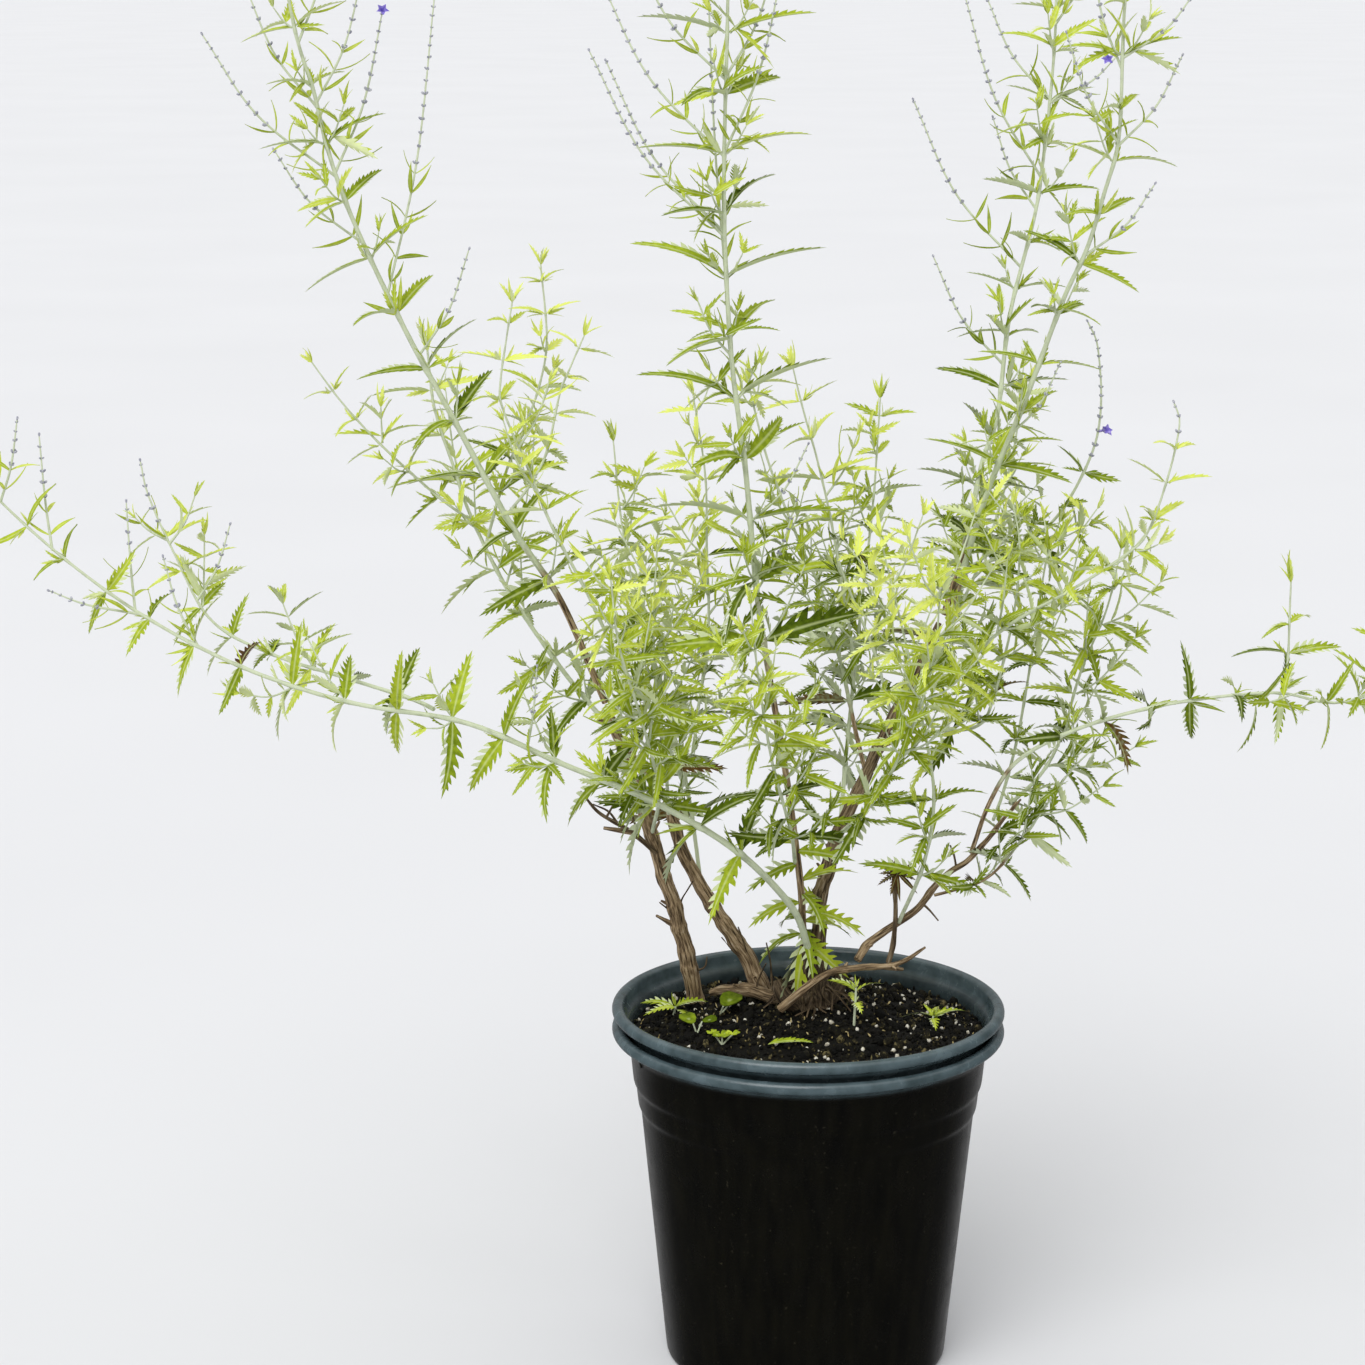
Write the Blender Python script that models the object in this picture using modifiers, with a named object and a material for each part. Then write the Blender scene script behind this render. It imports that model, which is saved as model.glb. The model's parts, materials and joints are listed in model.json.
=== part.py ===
"""Russian sage in two nested nursery pots. Sizes are in millimetres, scaled to metres at the end."""

import math
import random

import bmesh
import bpy
from mathutils import Matrix, Vector
from mathutils.bvhtree import BVHTree

MM = 0.001

# Pots: one mould, used twice
BASE_RADIUS = 80.5
TAPER = 0.1
WALL = 0.8
FLOOR = 1.2
BEAD_RADIUS = 107.5
BEAD_HEIGHT = 193.0
BEAD = 3.4
LEDGE_HEIGHT = 185.5
RING_HEIGHTS = (148.0, 162.0)
RING_STEP = 0.7
NEST_LIFT = 11.5
POT_STEPS = 32
DRAIN_HOLES = 5
DRAIN_RADIUS = 7.0
DRAIN_CIRCLE = 62.0

# Potting mix
SOIL_TOP = [(0.0, 203.0), (32.0, 201.5), (62.0, 197.0), (84.0, 193.0), (98.5, 191.5)]
SOIL_SIDE = [(97.2, 175.5), (96.0, 173.0), (93.9, 158.0), (79.7, 16.2), (77.1, 13.1), (0.0, 13.1)]

# Spacing and leaf proportions
GAP = 0.35
LEAF_WIDTH = 0.2
LEAF_THICK = 1.2
TUBE_STEP = 48.0
SHOOT_STEP = 46.0
TALL_RADIUS = 2.2
SIDE_SPACING = 1.3

# Ways to turn a leaf that has no room: turn about the stem, extra rise, share of its length
LEAF_TRIES = ((0, 0, 1), (22, 8, 1), (-22, 8, 1), (12, 28, 0.85), (-12, -18, 0.85), (30, 24, 0.65))

# Root crown: the stump, the part of it sunk in the mix, and its two knuckles
STUMP = [(4, 12, 186), (3, 11, 200), (2, 9, 214), (2, 8, 228), (2, 8, 240)]
SOCKET_STUMP = [(4, 12, 185), (3, 11, 200), (2, 9, 214)]
KNUCKLES = ([(2, 10, 198), (-12, 4, 208), (-17, 8, 218)], [(4, 12, 200), (16, 16, 210), (20, 20, 222)])

# Stems: the route is a list of points in mm, radius is at foot and tip,
# leaves is (first pair, spacing, length at foot, length at tip, turn of the first pair in degrees),
# and each shoot is (distance along the stem, then the tip's offset from there).
WOOD = {
    "woody_cane_left": {
        "route": [(-62, 34, 186), (-67, 31, 222), (-75, 25, 254), (-84, 22, 285), (-95, 18, 321),
                  (-113, 10, 376)],
        "radius": (5.0, 2.9),
        "shoots": [(58, -14, -4, 9)],
    },
    "woody_cane_middle": {
        "route": [(-20, 32, 190), (-31, 33, 218), (-44, 35, 240), (-55, 38, 256), (-64, 42, 270),
                  (-73, 46, 288), (-80, 52, 312)],
        "radius": (5.2, 3.2),
        "shoots": [],
    },
    "woody_cane_right": {
        "route": [(6, 14, 232), (8, 18, 268), (15, 22, 294), (22, 24, 312), (31, 28, 330),
                  (41, 30, 350), (52, 32, 375), (63, 32, 396), (73, 32, 420)],
        "radius": (4.4, 2.6),
        "shoots": [],
    },
    "surface_root": {
        "route": [(-8, 10, 206), (-22, 14, 207), (-34, 20, 208), (-46, 27, 206), (-55, 31, 203)],
        "radius": (4.2, 2.8),
        "shoots": [],
    },
    "dry_forked_twig": {
        "route": [(-16, -9, 206), (-6, -11, 216), (12, -13, 229), (26, -14, 232), (42, -17, 234),
                  (53, -20, 238), (64, -24, 247)],
        "radius": (3.6, 1.7),
        "shoots": [(66, 12, 4, -3)],
    },
    "low_woody_branch": {
        "route": [(27, -12, 236), (33, -6, 243), (43, -6, 251), (59, -12, 265), (67, -15, 276),
                  (77, -22, 290), (86, -28, 298), (94, -34, 309), (105, -42, 326), (113, -48, 338)],
        "radius": (3.0, 1.5),
        "shoots": [],
    },
    "dead_upright_twig": {
        "route": [(44, -17, 236), (47, -16, 249), (48, -14, 271), (46, -12, 291)],
        "radius": (1.8, 1.3),
        "shoots": [],
    },
    "dead_twig_left": {
        "route": [(-86, 18, 290), (-100, 12, 304), (-117, 6, 316), (-128, 2, 330)],
        "radius": (1.7, 1.0),
        "shoots": [(20, -16, 2, 2)],
    },
}

STEMS = {
    "tall_stem_left": {
        "route": [(-114, 10, 379), (-138, 2, 438), (-163, -10, 480), (-191, -20, 536), (-220, -30, 594),
                  (-244, -38, 649), (-256, -42, 685), (-263, -46, 718), (-271, -50, 747),
                  (-277, -54, 790), (-280, -58, 850), (-279, -60, 900)],
        "radius": (2.7, 0.7),
        "leaves": (78, 37, 50, 22, 0),
        "shoots": [(225, 28, -10, 57), (262, 27, 12, 160), (292, -47, 10, 48), (330, -67, -6, 73),
                   (332, 26, 6, 84), (367, -37, 8, 62), (370, 26, -8, 66), (402, 18, 8, 66),
                   (430, -16, -6, 50)],
    },
    "tall_stem_left_rear": {
        "route": [(-82, 54, 316), (-104, 65, 341), (-119, 70, 358), (-142, 75, 386), (-172, 85, 429),
                  (-193, 92, 471), (-202, 95, 497), (-213, 98, 531), (-217, 101, 565)],
        "radius": (2.3, 0.9),
        "leaves": (70, 33, 42, 34, 90),
        "shoots": [(150, 14, 34, 66), (205, -12, 30, 60)],
    },
    "side_branch_left_rear": {
        "route": [(-193, 92, 468), (-212, 93, 482), (-242, 92, 510), (-265, 90, 536), (-282, 88, 560)],
        "radius": (1.2, 0.6),
        "leaves": (22, 24, 32, 14, 0),
        "shoots": [],
    },
    "young_shoot_rear": {
        "route": [(-184, 88, 455), (-172, 76, 497), (-163, 66, 519), (-152, 62, 548), (-147, 60, 576),
                  (-150, 60, 618)],
        "radius": (1.3, 0.6),
        "leaves": (34, 25, 36, 18, 90),
        "shoots": [(70, 20, 10, 40)],
    },
    "young_shoot_middle": {
        "route": [(-168, -10, 487), (-156, 12, 500), (-146, 24, 518), (-139, 30, 549), (-133, 30, 564),
                  (-125, 30, 582)],
        "radius": (1.2, 0.6),
        "leaves": (30, 24, 34, 16, 0),
        "shoots": [],
    },
    "young_shoot_front": {
        "route": [(-70, 16, 330), (-86, -14, 376), (-104, -30, 409), (-123, -44, 453), (-140, -52, 488),
                  (-152, -56, 519), (-165, -58, 551), (-167, -58, 566), (-160, -61, 610)],
        "radius": (1.7, 0.6),
        "leaves": (58, 26, 40, 18, 0),
        "shoots": [(208, -18, -12, 42), (236, 16, 10, 34)],
    },
    "long_low_stem": {
        "route": [(2, 5, 228), (-1, -5, 243), (-11, -15, 269), (-42, -35, 306), (-86, -55, 338),
                  (-137, -66, 363), (-187, -74, 387), (-248, -78, 399), (-303, -80, 418),
                  (-355, -80, 446), (-402, -80, 482), (-444, -80, 524), (-466, -80, 552)],
        "radius": (2.8, 0.7),
        "leaves": (96, 33, 52, 18, 90),
        "shoots": [(236, 6, -10, 46), (420, -18, 8, 46), (454, -46, -8, 14), (458, -4, 8, 56),
                   (512, -6, 9, 58), (548, 12, -8, 44)],
    },
    "long_low_stem_upper": {
        "route": [(-204, -68, 393), (-217, -56, 396), (-252, -46, 405), (-293, -40, 417),
                  (-326, -36, 435), (-345, -32, 470), (-359, -28, 502), (-363, -26, 520)],
        "radius": (1.7, 0.6),
        "leaves": (26, 26, 38, 16, 0),
        "shoots": [(150, 18, 6, 40), (184, 14, 4, 26), (186, -18, 4, 12)],
    },
    "tall_stem_centre": {
        "route": [(0, 8, 232), (-3, 5, 250), (-5, 0, 279), (-14, -9, 345), (-22, -15, 392),
                  (-30, -22, 443), (-37, -30, 515), (-45, -38, 578), (-49, -46, 647), (-49, -50, 700),
                  (-48, -56, 742), (-47, -60, 800), (-44, -62, 860), (-43, -63, 905)],
        "radius": (2.9, 0.7),
        "leaves": (191, 38, 58, 26, 0),
        "shoots": [(221, 22, 30, 44), (260, 30, -14, 44), (353, -18, -6, 30), (387, -11, 20, 180),
                   (417, -70, -12, 96), (419, -62, 14, 88), (459, -65, 6, 92), (461, 30, -8, 96),
                   (499, -48, 8, 66), (501, 26, 10, 60), (541, -30, 6, 60)],
    },
    "tall_stem_right_front": {
        "route": [(76, 28, 426), (82, 18, 442), (95, 0, 497), (114, -15, 552), (132, -28, 608),
                  (143, -34, 635), (151, -40, 666), (157, -44, 694), (157, -50, 745), (157, -56, 800),
                  (156, -60, 870)],
        "radius": (2.4, 0.7),
        "leaves": (34, 33, 44, 24, 0),
        "shoots": [(118, 24, -14, 40), (225, 35, -8, 38), (286, 33, 6, 46), (288, -29, -8, 56),
                   (326, -17, 8, 60), (332, 36, -6, 34), (368, -14, -6, 50)],
    },
    "tall_stem_right_rear": {
        "route": [(76, 37, 424), (90, 62, 462), (99, 72, 504), (108, 80, 531), (115, 92, 586),
                  (128, 100, 638), (133, 104, 670), (139, 112, 734), (140, 118, 800), (141, 121, 860)],
        "radius": (2.3, 0.7),
        "leaves": (48, 31, 40, 22, 90),
        "shoots": [(150, -40, 6, 60), (206, -62, 6, 93), (240, -24, 14, 50), (258, -45, -4, 100),
                   (300, 39, 4, 27), (302, -36, 8, 56), (344, 24, 6, 50)],
    },
    "flower_spike_stem": {
        "route": [(80, 50, 440), (100, 49, 451), (118, 45, 460), (139, 38, 480), (155, 30, 513),
                  (160, 26, 541), (157, 22, 576), (151, 20, 590)],
        "radius": (1.5, 0.6),
        "leaves": (30, 26, 30, 18, 80),
        "shoots": [],
    },
    "leafy_stem_right_front": {
        "route": [(62, 22, 384), (78, -22, 402), (102, -48, 433), (138, -62, 458), (165, -68, 478),
                  (175, -70, 490), (184, -74, 520), (189, -74, 547), (186, -74, 558)],
        "radius": (1.7, 0.6),
        "leaves": (52, 24, 40, 20, 0),
        "shoots": [(92, 4, -10, 44), (136, -10, 10, 40)],
    },
    "leafy_stem_right": {
        "route": [(108, -42, 334), (128, -12, 344), (141, 6, 362), (150, 4, 398), (163, 0, 434),
                  (170, 0, 468)],
        "radius": (1.5, 0.6),
        "leaves": (44, 25, 36, 24, 0),
        "shoots": [(96, 8, 10, 30)],
    },
    "far_right_stem": {
        "route": [(88, -32, 304), (96, -56, 340), (110, -66, 365), (141, -74, 384), (182, -82, 398),
                  (224, -86, 405), (247, -88, 406), (276, -88, 401), (308, -88, 413), (330, -88, 428)],
        "radius": (1.8, 0.7),
        "leaves": (100, 27, 44, 26, 90),
        "shoots": [],
    },
    "far_right_upright_shoot": {
        "route": [(247, -88, 408), (248, -88, 427), (248, -88, 443), (248, -88, 466)],
        "radius": (1.0, 0.6),
        "leaves": (19, 19, 30, 22, 0),
        "shoots": [],
    },
    "rear_centre_stem": {
        "route": [(33, 31, 333), (29, 60, 348), (22, 82, 380), (11, 90, 422), (-5, 98, 458),
                  (-22, 102, 502), (-33, 104, 545)],
        "radius": (1.9, 0.7),
        "leaves": (56, 30, 42, 22, 0),
        "shoots": [(130, 24, 16, 44), (160, -20, 14, 44)],
    },
    "young_shoot_centre": {
        "route": [(28, 78, 372), (26, 66, 400), (19, 60, 440), (13, 60, 474), (5, 60, 508),
                  (-3, 60, 536), (-9, 60, 560)],
        "radius": (1.4, 0.6),
        "leaves": (54, 28, 42, 20, 90),
        "shoots": [(120, 18, 8, 34)],
    },
    "wilted_shoot": {
        "route": [(48, 34, 362), (38, 34, 400), (26, 32, 430), (16, 30, 457), (17, 30, 471),
                  (24, 30, 471), (26, 30, 463)],
        "radius": (1.3, 0.8),
        "leaves": (44, 26, 34, 24, 0),
        "shoots": [],
    },
    "bush_shoot_left": {
        "route": [(-79, 44, 306), (-80, 26, 332), (-83, 10, 361), (-86, 2, 393), (-87, -3, 430),
                  (-85, -4, 467)],
        "radius": (1.5, 0.6),
        "leaves": (40, 22, 34, 16, 0),
        "shoots": [],
    },
    "bush_shoot_left_centre": {
        "route": [(-74, 56, 300), (-68, 72, 338), (-61, 80, 365), (-56, 88, 408), (-57, 90, 451),
                  (-58, 92, 495), (-65, 92, 541)],
        "radius": (1.6, 0.6),
        "leaves": (36, 26, 38, 18, 90),
        "shoots": [(90, -24, 18, 40), (120, 20, 14, 36)],
    },
    "low_twig_right": {
        "route": [(69, -20, 276), (83, -24, 281), (96, -27, 287), (107, -31, 299), (124, -40, 327),
                  (139, -48, 353), (151, -50, 367)],
        "radius": (1.2, 0.6),
        "leaves": (24, 21, 30, 16, 90),
        "shoots": [],
    },
    "bush_shoot_right_front": {
        "route": [(50, -12, 258), (62, -36, 300), (66, -42, 341), (56, -52, 394), (48, -58, 429),
                  (34, -60, 485)],
        "radius": (1.6, 0.6),
        "leaves": (40, 25, 38, 20, 0),
        "shoots": [(120, 16, -12, 34)],
    },
    "bush_shoot_right": {
        "route": [(47, 27, 358), (72, 4, 364), (92, -16, 372), (100, -24, 392), (109, -30, 439),
                  (111, -31, 475), (107, -31, 498)],
        "radius": (1.5, 0.6),
        "leaves": (44, 24, 36, 18, 90),
        "shoots": [],
    },
    "bush_shoot_far_right": {
        "route": [(100, -30, 322), (108, 0, 330), (116, 20, 350), (120, 21, 372), (126, 24, 412),
                  (132, 28, 456), (139, 28, 478)],
        "radius": (1.4, 0.6),
        "leaves": (44, 24, 34, 18, 0),
        "shoots": [],
    },
    "bush_shoot_rear_left": {
        "route": [(-60, 44, 262), (-70, 84, 320), (-92, 122, 390), (-106, 146, 450), (-112, 156, 505)],
        "radius": (1.7, 0.6),
        "leaves": (44, 27, 42, 20, 0),
        "shoots": [(110, -26, 14, 40), (140, 24, 14, 40)],
    },
    "bush_shoot_rear": {
        "route": [(18, 26, 296), (24, 70, 340), (34, 122, 410), (42, 150, 470), (46, 160, 530)],
        "radius": (1.8, 0.6),
        "leaves": (48, 28, 44, 20, 90),
        "shoots": [(120, 26, 16, 40), (150, -24, 16, 44)],
    },
    "bush_shoot_rear_right": {
        "route": [(62, 36, 388), (84, 80, 410), (108, 122, 450), (124, 146, 500), (130, 156, 550)],
        "radius": (1.7, 0.6),
        "leaves": (36, 27, 42, 20, 0),
        "shoots": [(90, 28, 14, 36)],
    },
    "bush_shoot_front": {
        "route": [(-8, -2, 290), (-12, -46, 320), (-24, -92, 372), (-32, -118, 424), (-36, -126, 462)],
        "radius": (1.6, 0.6),
        "leaves": (44, 25, 40, 20, 0),
        "shoots": [(100, 20, -14, 34)],
    },
    "bush_shoot_front_right": {
        "route": [(16, 16, 300), (34, -40, 336), (50, -84, 384), (60, -108, 430), (62, -114, 468)],
        "radius": (1.6, 0.6),
        "leaves": (50, 25, 40, 20, 90),
        "shoots": [(110, 22, -10, 34)],
    },
    "bush_shoot_front_left": {
        "route": [(-88, 18, 302), (-84, -36, 340), (-92, -84, 388), (-104, -108, 436),
                  (-108, -114, 472)],
        "radius": (1.6, 0.6),
        "leaves": (48, 25, 40, 20, 0),
        "shoots": [(112, -20, -12, 34)],
    },
}

# Seedlings: place, height, and leaves as (turn in degrees, length, rise, share of the height)
SEEDLINGS = {
    "sage_seedling_left": {
        "place": (-76, 20, 10),
        "leaves": [(-150, 20, 8, 0.9), (160, 22, 16, 0.7), (20, 20, 20, 0.9), (-60, 18, 10, 0.6)],
    },
    "sage_seedling_right": {
        "place": (70, 2, 9),
        "leaves": [(170, 20, 10, 0.9), (10, 20, 20, 0.8), (80, 18, 16, 0.9), (-90, 18, 10, 0.6)],
    },
    "seedling_centre": {
        "place": (25, -22, 22),
        "leaves": [(160, 18, 30, 0.9), (20, 17, 24, 0.9), (-80, 15, 10, 0.6), (100, 15, 20, 0.6)],
    },
}

# Three-leaved weeds: place and height
TREFOILS = {"wood_sorrel": (-50, 3, 9), "wood_sorrel_small": (-63, -22, 7), "clover": (-49, -42, 6)}

COLOURS = {
    "pot": ((0.016, 0.018, 0.016), 0.38),
    "mix": ((0.022, 0.015, 0.011), 0.95),
    "bark": ((0.115, 0.072, 0.045), 0.9),
    "stem": ((0.46, 0.54, 0.38), 0.7),
    "leaf": ((0.21, 0.32, 0.025), 0.6),
    "dead_leaf": ((0.09, 0.045, 0.02), 0.85),
}


def clear_scene():
    for thing in list(bpy.data.objects):
        bpy.data.objects.remove(thing, do_unlink=True)


def collection(name, hidden=False):
    made = bpy.data.collections.new(name)
    made.hide_render = hidden
    bpy.context.scene.collection.children.link(made)
    return made


def material(name, look):
    colour, roughness = COLOURS[look]
    made = bpy.data.materials.new(name)
    made.use_nodes = True
    shader = made.node_tree.nodes["Principled BSDF"]
    shader.inputs["Base Color"].default_value = (*colour, 1.0)
    shader.inputs["Roughness"].default_value = roughness
    shader.inputs["Metallic"].default_value = 0.0
    made.diffuse_color = (*colour, 1.0)
    return made


def add_object(name, mesh, into):
    made = bpy.data.objects.new(name, mesh)
    into.objects.link(made)
    return made


def evaluated_mesh(thing):
    """The mesh with its modifiers applied."""
    bpy.context.view_layer.update()
    graph = bpy.context.evaluated_depsgraph_get()
    return bpy.data.meshes.new_from_object(thing.evaluated_get(graph))


def mesh_from_curve(thing):
    """Turns a curve object into a welded mesh and removes the curve."""
    mesh = evaluated_mesh(thing)
    bpy.data.objects.remove(thing, do_unlink=True)
    shape = bmesh.new()
    shape.from_mesh(mesh)
    bmesh.ops.remove_doubles(shape, verts=shape.verts, dist=0.0002)
    bmesh.ops.triangulate(shape, faces=shape.faces)
    bmesh.ops.recalc_face_normals(shape, faces=shape.faces)
    shape.to_mesh(mesh)
    shape.free()
    return mesh


def smooth_route(points, step=TUBE_STEP):
    """Points spaced evenly along a smooth line through the given ones."""
    ends = [2 * points[0] - points[1], *points, 2 * points[-1] - points[-2]]
    fine = []
    for a, b, c, d in zip(ends, ends[1:], ends[2:], ends[3:]):
        for k in range(12):
            t = k / 12
            bend = 2 * a - 5 * b + 4 * c - d
            twist = 3 * b - a - 3 * c + d
            fine.append(0.5 * (2 * b + (c - a) * t + bend * t * t + twist * t ** 3))
    fine.append(points[-1])
    lengths = [0.0]
    for a, b in zip(fine, fine[1:]):
        lengths.append(lengths[-1] + (b - a).length)
    count = max(2, round(lengths[-1] / step))
    placed = []
    for k in range(count + 1):
        placed.append(point_at(fine, lengths, lengths[-1] * k / count))
    return placed


def point_at(points, lengths, distance):
    for a, b, start, end in zip(points, points[1:], lengths, lengths[1:]):
        if distance <= end:
            return a.lerp(b, (distance - start) / max(end - start, 1e-6))
    return points[-1].copy()


def route_lengths(points):
    lengths = [0.0]
    for a, b in zip(points, points[1:]):
        lengths.append(lengths[-1] + (b - a).length)
    return lengths


def tube(name, points, radii, into, sides=1, grow=0.0):
    """A round bar along the points, capped at both ends; grow thickens it."""
    curve = bpy.data.curves.new(name, "CURVE")
    curve.dimensions = "3D"
    curve.bevel_depth = 1.0
    curve.bevel_resolution = sides
    curve.use_fill_caps = True
    spline = curve.splines.new("POLY")
    spline.points.add(len(points) - 1)
    lengths = route_lengths(points)
    for bead, point, length in zip(spline.points, points, lengths):
        share = length / lengths[-1]
        bead.co = (*point, 1.0)
        bead.radius = radii[0] + (radii[1] - radii[0]) * share + grow
    return mesh_from_curve(add_object(name, curve, into))


def leaf_form(name, rings):
    """One slim leaf, 1 long: a three-sided ball drawn out to a point at both ends, its keel below."""
    shape = bmesh.new()
    bmesh.ops.create_uvsphere(shape, u_segments=3, v_segments=rings + 1, radius=0.5)
    for vertex in shape.verts:
        around, across, up = vertex.co
        along = up if abs(up) > 0.49 else 0.66 * up + 0.03
        vertex.co = (0.5 + along, across * LEAF_WIDTH / 0.866, -around)
    bmesh.ops.triangulate(shape, faces=shape.faces)
    bmesh.ops.recalc_face_normals(shape, faces=shape.faces)
    mesh = bpy.data.meshes.new(name)
    shape.to_mesh(mesh)
    shape.free()
    return mesh


def leaf_outline(name, outline, into):
    """One flat leaf, 1 long and 1 thick, its edge drawn as a filled curve."""
    curve = bpy.data.curves.new(name, "CURVE")
    curve.dimensions = "2D"
    curve.fill_mode = "BOTH"
    curve.extrude = 0.5
    edge = outline + [(x, -y) for x, y in reversed(outline) if y > 0.0]
    spline = curve.splines.new("POLY")
    spline.points.add(len(edge) - 1)
    for bead, (x, y) in zip(spline.points, edge):
        bead.co = (x, y, 0.0, 1.0)
    spline.use_cyclic_u = True
    return mesh_from_curve(add_object(name, curve, into))


def leaf_mesh(template, foot, along, normal, length, grow=0.0):
    """A copy of the template set at its foot, pointing along, arched up and then down."""
    across = normal.cross(along).normalized()
    normal = along.cross(across).normalized()
    shape = bmesh.new()
    shape.from_mesh(template)
    wide = 1.0 + 2 * grow / (LEAF_WIDTH * length)
    for vertex in shape.verts:
        x, y, z = vertex.co
        lift = length * (0.22 * x - 0.34 * x * x)
        vertex.co = foot + along * (x * length) + across * (y * length * wide)
        vertex.co += normal * (z * (LEAF_THICK + 2 * grow) + lift)
    return shape


def joined(shapes, name):
    """One mesh from several bmeshes, which are freed."""
    whole = bmesh.new()
    mesh = bpy.data.meshes.new(name)
    for shape in shapes:
        shape.to_mesh(mesh)
        shape.free()
        whole.from_mesh(mesh)
    whole.to_mesh(mesh)
    whole.free()
    return mesh


def apply_boolean(thing, other, operation, keep=False):
    """Applies one exact Boolean to an object and removes the other operand unless it is kept."""
    change = thing.modifiers.new(operation.lower(), "BOOLEAN")
    change.operation = operation
    change.solver = "EXACT"
    change.use_self = operation == "UNION"
    change.object = other
    mesh = evaluated_mesh(thing)
    thing.modifiers.remove(change)
    thing.data = mesh
    if not keep:
        bpy.data.objects.remove(other, do_unlink=True)


def tidy_mesh(thing):
    """Triangulates, and drops the crumbs that a Boolean can leave."""
    shape = bmesh.new()
    shape.from_mesh(thing.data)
    bmesh.ops.remove_doubles(shape, verts=shape.verts, dist=0.0005)
    waiting = set(shape.verts)
    while waiting:
        island = {waiting.pop()}
        front = list(island)
        while front:
            vertex = front.pop()
            for edge in vertex.link_edges:
                other = edge.other_vert(vertex)
                if other in waiting:
                    waiting.discard(other)
                    island.add(other)
                    front.append(other)
        reach = [max(v.co[k] for v in island) - min(v.co[k] for v in island) for k in range(3)]
        if max(reach) < 1.0:
            bmesh.ops.delete(shape, geom=list(island), context="VERTS")
    bmesh.ops.triangulate(shape, faces=shape.faces)
    shape.to_mesh(thing.data)
    shape.free()


def search_tree(mesh):
    shape = bmesh.new()
    shape.from_mesh(mesh)
    found = BVHTree.FromBMesh(shape)
    shape.free()
    return found


def is_clear(shape, built):
    """True where the shape crosses none of the pieces built so far."""
    tree = BVHTree.FromBMesh(shape)
    return not any(tree.overlap(other) for other in built)


def screw_piece(name, profile, into, steps=POT_STEPS):
    """Turns a profile, given from its outer top point down and round, about the upright axis."""
    mesh = bpy.data.meshes.new(name)
    count = len(profile)
    pairs = [(k, (k + 1) % count) for k in range(count)]
    pairs = [(a, b) for a, b in pairs if profile[a][0] + profile[b][0] > 0.0]
    mesh.from_pydata([(x, 0.0, z) for x, z in profile], pairs, [])
    thing = add_object(name, mesh, into)
    turn = thing.modifiers.new("turn", "SCREW")
    turn.axis = "Z"
    turn.steps = steps
    turn.render_steps = steps
    turn.use_merge_vertices = True
    turn.merge_threshold = 0.0001
    turn.use_normal_calculate = True
    thing.data = evaluated_mesh(thing)
    thing.modifiers.remove(turn)
    shape = bmesh.new()
    shape.from_mesh(thing.data)
    bmesh.ops.remove_doubles(shape, verts=shape.verts, dist=0.001)
    bmesh.ops.recalc_face_normals(shape, faces=shape.faces)
    shape.to_mesh(thing.data)
    shape.free()
    return thing


def wall_radius(height):
    """The pot's outer radius below its ledge."""
    radius = BASE_RADIUS + TAPER * height
    for ring in RING_HEIGHTS:
        if height > ring:
            radius += RING_STEP
    return radius


def pot_profile():
    """The wall from the top of the rolled rim down the outside, across the floor and up the inside."""
    low, high = RING_HEIGHTS
    lift = 0.9
    outside = [
        (BEAD_RADIUS, BEAD_HEIGHT + BEAD),
        (BEAD_RADIUS + BEAD, BEAD_HEIGHT + 0.35 * BEAD),
        (BEAD_RADIUS + 0.8 * BEAD, BEAD_HEIGHT - 0.8 * BEAD),
        (BEAD_RADIUS - 0.9 * BEAD, BEAD_HEIGHT - BEAD),
        (wall_radius(LEDGE_HEIGHT) + 2.2, LEDGE_HEIGHT + lift),
        (wall_radius(LEDGE_HEIGHT), LEDGE_HEIGHT),
        (wall_radius(high + lift), high + lift),
        (wall_radius(high - lift), high - lift),
        (wall_radius(low + lift), low + lift),
        (wall_radius(low - lift), low - lift),
        (wall_radius(3.0), 3.0),
        (wall_radius(3.0) - 2.6, 0.0),
    ]
    inside = [
        (wall_radius(3.0) - 3.2, FLOOR),
        (wall_radius(4.2) - WALL, 4.2),
        (wall_radius(low - lift) - WALL, low - lift),
        (wall_radius(low + lift) - WALL, low + lift),
        (wall_radius(high - lift) - WALL, high - lift),
        (wall_radius(high + lift) - WALL, high + lift),
        (wall_radius(LEDGE_HEIGHT) - WALL, LEDGE_HEIGHT + 0.4),
        (wall_radius(LEDGE_HEIGHT) + 1.4, LEDGE_HEIGHT + lift + 0.5),
        (BEAD_RADIUS - BEAD, BEAD_HEIGHT),
    ]
    return [*outside, (0.0, 0.0), (0.0, FLOOR), *inside]


def pot(name, lift, into, cutters):
    """One nursery pot, its foot at the given height, with drain holes through its floor."""
    thing = screw_piece(name, [(x, z + lift) for x, z in pot_profile()], into)
    for k in range(DRAIN_HOLES):
        angle = math.tau * (k + 0.5) / DRAIN_HOLES
        place = (DRAIN_CIRCLE * math.cos(angle), DRAIN_CIRCLE * math.sin(angle), lift)
        bpy.ops.mesh.primitive_cylinder_add(vertices=10, radius=DRAIN_RADIUS, depth=8.0, location=place)
        cutter = bpy.context.object
        cutter.name = name + "_drain_cutter"
        move_to(cutter, cutters)
        apply_boolean(thing, cutter, "DIFFERENCE")
    thing.data.materials.append(material(name + "_plastic", "pot"))
    return thing


def move_to(thing, into):
    for holder in list(thing.users_collection):
        holder.objects.unlink(thing)
    into.objects.link(thing)
    thing.hide_render = True
    thing.display_type = "WIRE"


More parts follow.
